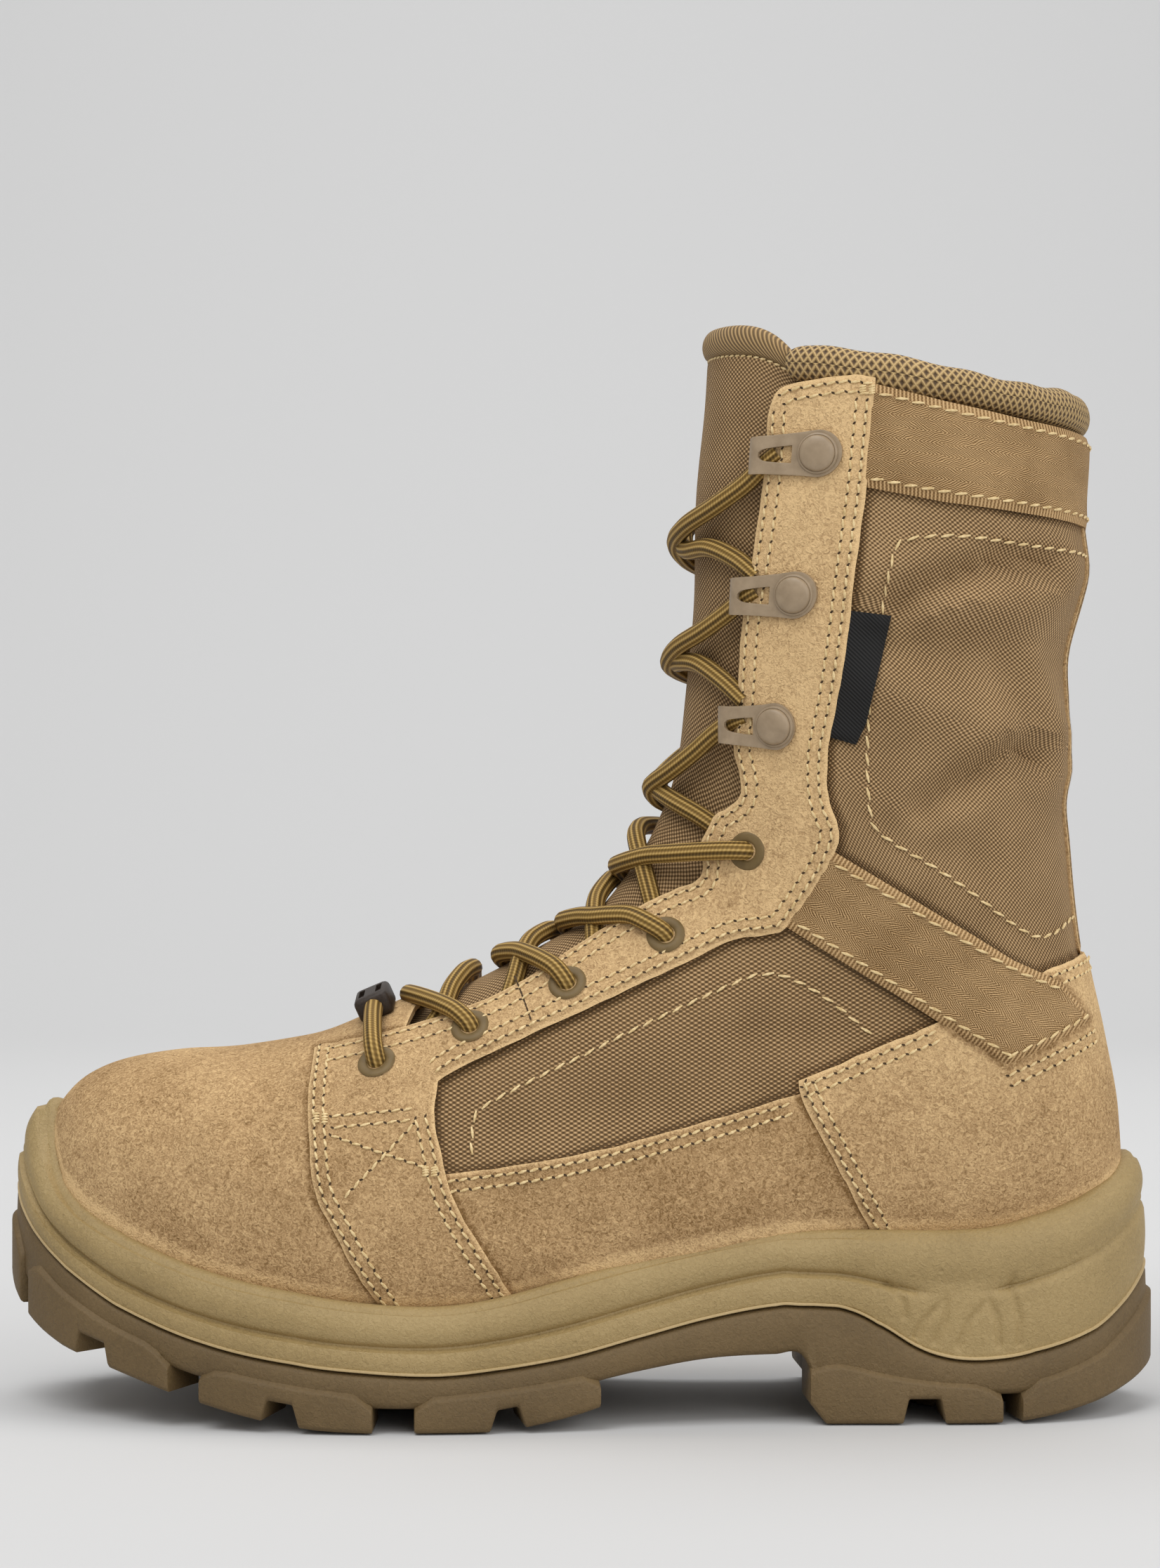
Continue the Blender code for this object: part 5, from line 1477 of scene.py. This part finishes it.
# Insole: a bed of dark felt, cut to the foot and laid in the midsole's cup. Its solid has the right
# shape, so it keeps that and gets a felt finish.
tree = new_material("dark_felt")
fibres = use(tree, nap, {"Place": place_of(tree)})
colour = ramp(tree, fibres["Tone"], [(0.3, (0.025, 0.023, 0.021)), (0.7, (0.075, 0.068, 0.06))])
felt = finish_of("dark_felt", colour, 0.95, fibres["Tone"], 0.4, 0.0006)
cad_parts["insole"].data.materials.clear()
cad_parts["insole"].data.materials.append(felt)

# Midsole: injected olive foam, a cup with a lip round the upper. A groove splits its side, short
# flutes fan out at the heel, and a pale thread of flash is left where it meets the outsole.
# Columns: x, centre, half width, tread, slab, lug, parting, step share, rim, lean.
STATIONS = np.array(
    [
        (-150.5, 5.5, 0.0, 34.0, 41.0, 51.0, 57.0, 0.40, 80.0, 4.5),
        (-148.0, 5.5, 12.0, 28.5, 35.5, 46.0, 51.5, 0.38, 72.5, 4.0),
        (-142.0, 5.5, 22.5, 22.5, 29.0, 39.5, 44.5, 0.36, 60.5, 2.5),
        (-134.0, 5.5, 31.5, 18.0, 24.5, 33.0, 38.0, 0.35, 53.5, 1.0),
        (-120.0, 5.3, 41.5, 13.5, 20.0, 25.5, 29.8, 0.34, 46.8, 0.3),
        (-97.0, 4.0, 50.5, 6.5, 12.8, 17.5, 21.6, 0.35, 39.2, 0.0),
        (-73.0, 1.7, 54.3, 1.4, 7.8, 12.8, 17.0, 0.36, 34.5, 0.0),
        (-55.0, -0.2, 54.0, 0.0, 6.2, 10.8, 15.0, 0.37, 32.0, 0.0),
        (-37.0, -2.3, 51.7, 0.0, 6.0, 10.2, 14.2, 0.39, 31.2, 0.0),
        (-22.0, -4.0, 48.5, 0.0, 6.4, 11.5, 15.5, 0.39, 33.0, 0.0),
        (-4.0, -5.4, 44.3, 3.2, 10.2, 14.0, 18.2, 0.39, 37.5, 0.0),
        (13.0, -5.4, 41.0, 8.0, 14.0, 18.0, 22.5, 0.40, 41.8, 0.0),
        (32.0, -4.4, 38.5, 10.0, 17.0, 21.0, 27.2, 0.42, 45.7, 0.0),
        (50.0, -3.0, 37.5, 10.0, 17.8, 20.0, 30.2, 0.44, 48.6, 0.0),
        (56.5, -2.5, 37.5, 8.0, 17.6, 19.0, 30.2, 0.43, 49.0, 0.0),
        (62.0, -2.1, 37.6, 0.0, 7.2, 16.6, 30.0, 0.42, 49.2, 0.0),
        (68.0, -1.8, 37.7, 0.0, 7.2, 16.0, 29.2, 0.42, 49.2, 0.0),
        (76.0, -1.5, 38.0, 0.0, 7.2, 14.0, 25.5, 0.44, 49.2, 0.0),
        (87.0, -1.2, 38.2, 0.0, 7.2, 12.0, 19.1, 0.48, 49.0, 0.0),
        (96.0, -1.0, 38.2, 0.0, 7.2, 11.2, 16.4, 0.52, 49.0, 0.0),
        (106.0, -0.8, 37.8, 0.0, 7.2, 10.8, 16.2, 0.53, 49.5, 0.0),
        (117.0, -0.6, 36.0, 1.0, 7.6, 11.8, 18.0, 0.54, 51.8, 0.0),
        (133.0, -0.5, 28.8, 4.4, 10.2, 17.0, 22.7, 0.56, 56.5, 0.0),
        (142.0, -0.3, 20.0, 7.6, 14.0, 23.5, 29.0, 0.56, 61.0, 0.0),
        (147.0, 0.0, 11.8, 10.0, 18.0, 28.5, 34.0, 0.56, 64.5, 0.0),
        (149.5, 0.0, 0.0, 12.0, 21.0, 31.5, 37.0, 0.56, 66.5, 0.0),
    ]
)
TOE_X, HEEL_X = STATIONS[0, 0], STATIONS[-1, 0]


def sole_turn(x):
    """The angle of a place along the sole: 0 at the toe, 180 at the heel."""
    share = (TOE_X + HEEL_X - 2 * np.asarray(x, float)) / (HEEL_X - TOE_X)
    return np.degrees(np.arccos(np.clip(share, -1, 1)))


STATION_TURNS = sole_turn(STATIONS[:, 0])
shares = STATIONS.copy()
shares[1:-1, 2] /= np.sin(np.radians(STATION_TURNS[1:-1]))
shares[0, 2], shares[-1, 2] = shares[1, 2], shares[-2, 2]


def sole_spot(turn):
    """The outline's x and y at these turns, with the station's row. Inner turns are negative."""
    turn = (np.asarray(turn, float) + 180) % 360 - 180
    size, sign = np.abs(turn), np.where(turn < 0, -1, 1)
    index = np.clip(np.searchsorted(STATION_TURNS, size, side="right") - 1, 0, len(STATIONS) - 2)
    share = (size - STATION_TURNS[index]) / (STATION_TURNS[index + 1] - STATION_TURNS[index])
    share = np.where(index == 0, share * share * (2 - share), share)
    left = 1 - share
    share = np.where(index == len(STATIONS) - 2, 1 - left * left * (2 - left), share)
    row = row_of(shares, index + share)
    row[..., 3] = np.maximum(row[..., 3], 0)
    x = (TOE_X + HEEL_X) / 2 - (HEEL_X - TOE_X) / 2 * np.cos(np.radians(size))
    half = row[..., 2] * np.sin(np.radians(size))
    return np.stack([x, row[..., 1] - sign * half], -1), row


def sole_edge(turn):
    """The outline's points, the directions outwards and the stations' rows."""
    spot, row = sole_spot(turn)
    along = sole_spot(np.asarray(turn) + 0.4)[0] - sole_spot(np.asarray(turn) - 0.4)[0]
    outward = np.stack([along[..., 1], -along[..., 0]], -1)
    return spot, outward / np.linalg.norm(outward, axis=-1, keepdims=True), row


COLUMNS = 760


def even_turns(count, dense):
    """Turns round the whole sole, even along its outline but closer between two places."""
    fine = np.linspace(-180, 180, 4001)
    spots = sole_spot(fine)[0]
    steps = np.linalg.norm(np.diff(spots, axis=0), axis=1)
    steps *= np.where((spots[1:, 0] > dense[0]) & (spots[1:, 0] < dense[1]), 2.6, 1.0)
    run = np.concatenate([[0], np.cumsum(steps)])
    return np.interp(np.linspace(0, run[-1], count + 1), run, fine)


def on_edge(offset, height):
    """A ring of points at an offset from the outline."""
    offset = np.broadcast_to(offset, len(spot))[:, None]
    return np.concatenate([spot + outward * offset, height[:, None]], 1)


def rolled(name, rings):
    """A grid round the sole, one row for each ring, with its corners' columns and levels."""
    piece, share = grid(name, COLUMNS, len(rings) - 1)
    column = np.rint(share[:, 0] * COLUMNS).astype(int)
    level = np.rint(share[:, 1] * (len(rings) - 1)).astype(int)
    return piece, column, level


stipple, taken, given = effect(
    "moulded_stipple", [("Place", "NodeSocketVector"), ("Grain", "NodeSocketFloat")], ["Tone", "Height"]
)
pebble = add_node(
    stipple,
    "ShaderNodeTexNoise",
    {"Vector": taken["Place"], "Scale": taken["Grain"], "Detail": 2.0, "Distortion": 1.0},
)
speck = add_node(stipple, "ShaderNodeTexVoronoi", {"Vector": taken["Place"], "Scale": 160.0})
pit = fade(stipple, speck.outputs["Distance"], 0.04, 0.12, -0.5, 0.0)
stipple.links.new(pebble.outputs["Fac"], given["Tone"])
stipple.links.new(sum_up(stipple, "ADD", pebble.outputs["Fac"], pit), given["Height"])

for name, colours, roughness, relief in (
    ("olive_foam", ((0.235, 0.161, 0.06), (0.325, 0.227, 0.091), (0.42, 0.305, 0.138)), 0.6, 0.75),
    ("flash_thread", ((0.36, 0.26, 0.12), (0.45, 0.33, 0.16), (0.54, 0.41, 0.22)), 0.6, 0.1),
    ("brown_rubber", ((0.09, 0.055, 0.018), (0.128, 0.08, 0.028), (0.18, 0.116, 0.046)), 0.66, 0.6),
):
    tree = new_material(name)
    spot = place_of(tree)
    pebbles = use(tree, stipple, {"Place": spot, "Grain": 1100.0})
    slow = use(tree, mottle, {"Place": spot, "Size": 30.0})
    tone = sum_up(tree, "MULTIPLY", slow["Tone"], 0.6)
    tone = sum_up(tree, "MULTIPLY_ADD", pebbles["Tone"], 0.45, tone)
    colour = ramp(tree, tone, [(0.25, colours[0]), (0.52, colours[1]), (0.85, colours[2])])
    finish_of(name, colour, roughness, pebbles["Height"], relief, 0.0004)

# Columns: x, z of both ends.
FLUTES = [
    (93.6, 31.6, 88, 26.5), (88, 26.5, 85.1, 21.5), (93.6, 31.6, 93.4, 26.5), (93.4, 26.5, 90.7, 20.8),
    (104.7, 31.6, 99.5, 26), (99.5, 26, 97.1, 20), (104.7, 31.6, 107, 26.5), (107, 26.5, 107.4, 20),
    (111.4, 37, 110.5, 34.7), (110.5, 34.7, 112.9, 26), (112.9, 26, 112.6, 20),
    (78, 35.4, 80.6, 34), (80.6, 34, 82.6, 31), (82.6, 31, 83, 27.5),
]
FLUTE_DEPTH = 0.75
turns = even_turns(COLUMNS, (78, 118))
spot, outward, station = sole_edge(turns)
parting, rim, lean = station[:, 6], station[:, 8], station[:, 9]
step = parting + (rim - parting) * station[:, 7]
calm = np.exp(-(((spot[:, 0] - 97) / 11) ** 4))
levels = [
    (-7.0, parting + 0.6), (-0.4, parting + 0.1), (0.55, parting), (1.05, parting + 0.25),
    (1.05, parting + 0.65), (0.5, parting + 0.9),
]
for part in np.linspace(0.12, 0.88, 20):
    levels.append((0.45 + 0.55 * math.sin(part * math.pi), parting + (step - parting) * part))
groove = (1 - calm) * np.interp(spot[:, 0], [108, 120, 140], [1.0, 0.6, 0.3])
for edge, depth, rise in ((0.35, 0.3, -0.8), (0.2, 1.6, -0.1), (0.1, 1.6, 0.4), (0.1, 0.6, 1.3)):
    levels.append((edge - depth * groove, step + rise))
for part in np.linspace(0.16, 0.82, 10):
    bulge = 0.9 * math.sin(math.pi * (part - 0.1) / 0.8) - 1.6 * part**3
    levels.append((bulge - 0.4 - 0.8 * lean * part, step + (rim - step) * part))
for edge, drop in ((-1.9, 1.9), (-2.7, 0.7), (-3.7, 0.1), (-5.0, 0.0)):
    levels.append((edge - lean, rim - drop))
rings = [on_edge(offset, height) for offset, height in levels]
lip, lip_low = rings[-1].copy(), rings[-1].copy()
for number in range(len(turns)):
    start = (*(spot[number] + outward[number] * 12), rim[number] - 0.4)
    hit = upper_form.ray_cast(start, (*(-outward[number]), 0.0), 60)[0]
    if hit is not None:
        lip[number, :2] = np.array(hit[:2]) + outward[number] * 0.9
        lip_low[number, :2] = np.array(hit[:2]) + outward[number] * 0.3
lip[:, 2] = rim - 0.5
lip_low[:, 2] = rim - 5.0
rings += [lip, lip_low]
midsole, column, level = rolled("midsole_cup", rings)
points = np.array(rings)[level, column]
dents = np.zeros(len(points))
for x, z, end_x, end_z in FLUTES:
    gap = line_gap(points[:, [0, 2]], (x, z), (end_x, end_z))
    dents = np.minimum(dents, -FLUTE_DEPTH * np.exp(-gap * gap))
dents *= (level > 6) & (level < len(rings) - 6)
points[:, :2] += outward[column] * dents[:, None]
put(midsole, points)
midsole.data.materials.append(bpy.data.materials["olive_foam"])
midsole.data.materials.append(bpy.data.materials["flash_thread"])
bead = level[face_corners(midsole)].mean(1)
midsole.data.polygons.foreach_set("material_index", ((bead > 2) & (bead < 5)).astype(np.int32))
close_seams()
settle(midsole, "foam_olive", "midsole")

# Outsole: moulded brown rubber. A slab with an arch and a heel carries plates round its edge, each
# split by a notch, and blocks down its middle. Columns: start x, stop x, notch start and stop, depth.
PLATES = [
    (-144.0, -105.0, -130.0, -121.0, 15.0),
    (-97.0, -53.0, -81.0, -71.5, 19.0),
    (-42.5, 4.5, -23.5, -14.5, 19.0),
    (58.5, 108.0, 82.5, 93.5, 17.0),
]
# Columns: x, y, length, width, twist.
BLOCKS = [
    (-114, 6, 15, 22, 12), (-92, 14, 13, 20, -22), (-88, -9, 13, 20, 22), (-66, 13, 13, 22, -22),
    (-62, -11, 13, 22, 22), (-40, 9, 13, 22, -22), (-36, -14, 13, 22, 22), (-16, -3, 13, 24, 0),
    (72, -2, 15, 26, 0), (95, -1, 15, 26, 0), (116, -1, 11, 20, 0),
]
slab, seam = station[:, 4], parting - 0.35
side_rings = [
    (-9.0, seam - 0.2), (-0.4, seam), (0.6, seam - 0.6), (1.0, seam - 1.6),
    (1.15, slab + (seam - slab) * 0.6), (1.15, slab + 1.8), (0.7, slab + 0.7), (-0.4, slab),
]
rings = [on_edge(offset, height) for offset, height in side_rings]
centre = station[:, 1]
for part in (0.75, 0.5, 0.25, 0.0):
    inner = rings[len(side_rings) - 1].copy()
    inner[:, 1] = centre + (inner[:, 1] - centre) * part
    rings.append(inner)
outsole, column, level = rolled("outsole_tread", rings)
put(outsole, np.array(rings)[level, column])
close_seams()
lugs = []


def finish_lug(name, points, columns, rows):
    """Closes a lug's ends and rounds its corners."""
    lug, _ = grid(name, columns, rows)
    put(lug, points)
    bpy.ops.object.mode_set(mode="EDIT")
    bpy.ops.mesh.select_all(action="SELECT")
    bpy.ops.mesh.remove_doubles(threshold=0.00001)
    bpy.ops.mesh.fill_holes(sides=0)
    bpy.ops.mesh.select_all(action="SELECT")
    bpy.ops.mesh.normals_make_consistent(inside=False)
    bpy.ops.object.mode_set(mode="OBJECT")
    corner = lug.modifiers.new("corner", "BEVEL")
    corner.width = 0.0007
    corner.segments = 2
    corner.limit_method = "ANGLE"
    corner.angle_limit = math.radians(28)
    bpy.ops.object.modifier_apply(modifier="corner")
    lugs.append(lug)


def lug_plate(name, turns, notch, depth):
    """A plate that follows the outline, cut away to the slab inside its notch."""
    spot, outward, row = sole_edge(turns)
    tread, slab, top = row[:, 3], row[:, 4], row[:, 5]
    inside = (turns > notch[0]) & (turns < notch[1])
    low = np.where(inside, slab - 0.9, tread)
    run = run_of(spot)
    ends = np.minimum(run, run[-1] - run)
    high = np.maximum(top - 3.4 * np.clip(1 - ends / 5.0, 0, 1), low + 1.5)
    ring = [
        (-depth, low), (1.7, low), (2.5, np.minimum(low + 1.0, high - 1.0)), (2.5, high - 1.9),
        (0.0, high), (-depth, np.maximum(slab + 1.5, low + 1.2)), (-depth, low),
    ]
    points = [np.concatenate([spot + outward * offset, height[:, None]], 1) for offset, height in ring]
    finish_lug(name, np.stack(points, 1).reshape(-1, 3), len(ring) - 1, len(turns) - 1)


def spaced(*stops):
    """Turns between stops, with a close pair at each notch wall."""
    parts = []
    for start, stop in zip(stops, stops[1:]):
        parts.append(np.linspace(start, stop, max(int(abs(stop - start) / 1.4), 2)))
    return np.concatenate([parts[0]] + [part[1:] for part in parts[1:]])


for side, word in ((1, "outer"), (-1, "inner")):
    for number, (start, stop, first, final, depth) in enumerate(PLATES, 1):
        start, stop, first, final = (float(sole_turn(x)) for x in (start, stop, first, final))
        turns = side * spaced(start, first, first + 0.7, final - 0.7, final, stop)
        notch = sorted((side * (first + 0.35), side * (final - 0.35)))
        lug_plate(f"plate_{word}_{number}", turns, notch, depth)
toe, heel = float(sole_turn(-146.6)), float(sole_turn(113.0))
lug_plate("toe_plate", np.linspace(-toe, toe, 15), (toe, toe), 9.0)
lug_plate("heel_plate", spaced(heel, 174.5, 175.5, 184.5, 185.5, 360 - heel), (175, 185), 13.0)
BLOCK = np.array(
    [
        (-0.5, -0.32), (-0.2, -0.5), (0.5, -0.32), (0.5, 0.32), (-0.2, 0.5), (-0.5, 0.32), (-0.5, -0.32),
    ]
)
for number, (x, y, length, width, twist) in enumerate(BLOCKS, 1):
    cosine, sine = math.cos(math.radians(twist)), math.sin(math.radians(twist))
    flat = BLOCK * (length, width) @ np.array([(cosine, sine), (-sine, cosine)]) + (x, y)
    rows = sole_spot(sole_turn(flat[:, 0]))[1]
    low = np.concatenate([flat, rows[:, 3:4]], 1)
    high = np.concatenate([flat, rows[:, 4:5] + 1.5], 1)
    finish_lug(f"block_{number}", np.stack([low, high]).reshape(-1, 3), 6, 1)
bpy.ops.object.select_all(action="DESELECT")
for lug in lugs:
    lug.select_set(True)
outsole.select_set(True)
bpy.context.view_layer.objects.active = outsole
bpy.ops.object.join()
outsole.data.materials.clear()
outsole.data.materials.append(bpy.data.materials["brown_rubber"])
settle(outsole, "rubber_brown", "outsole")

bpy.context.view_layer.update()
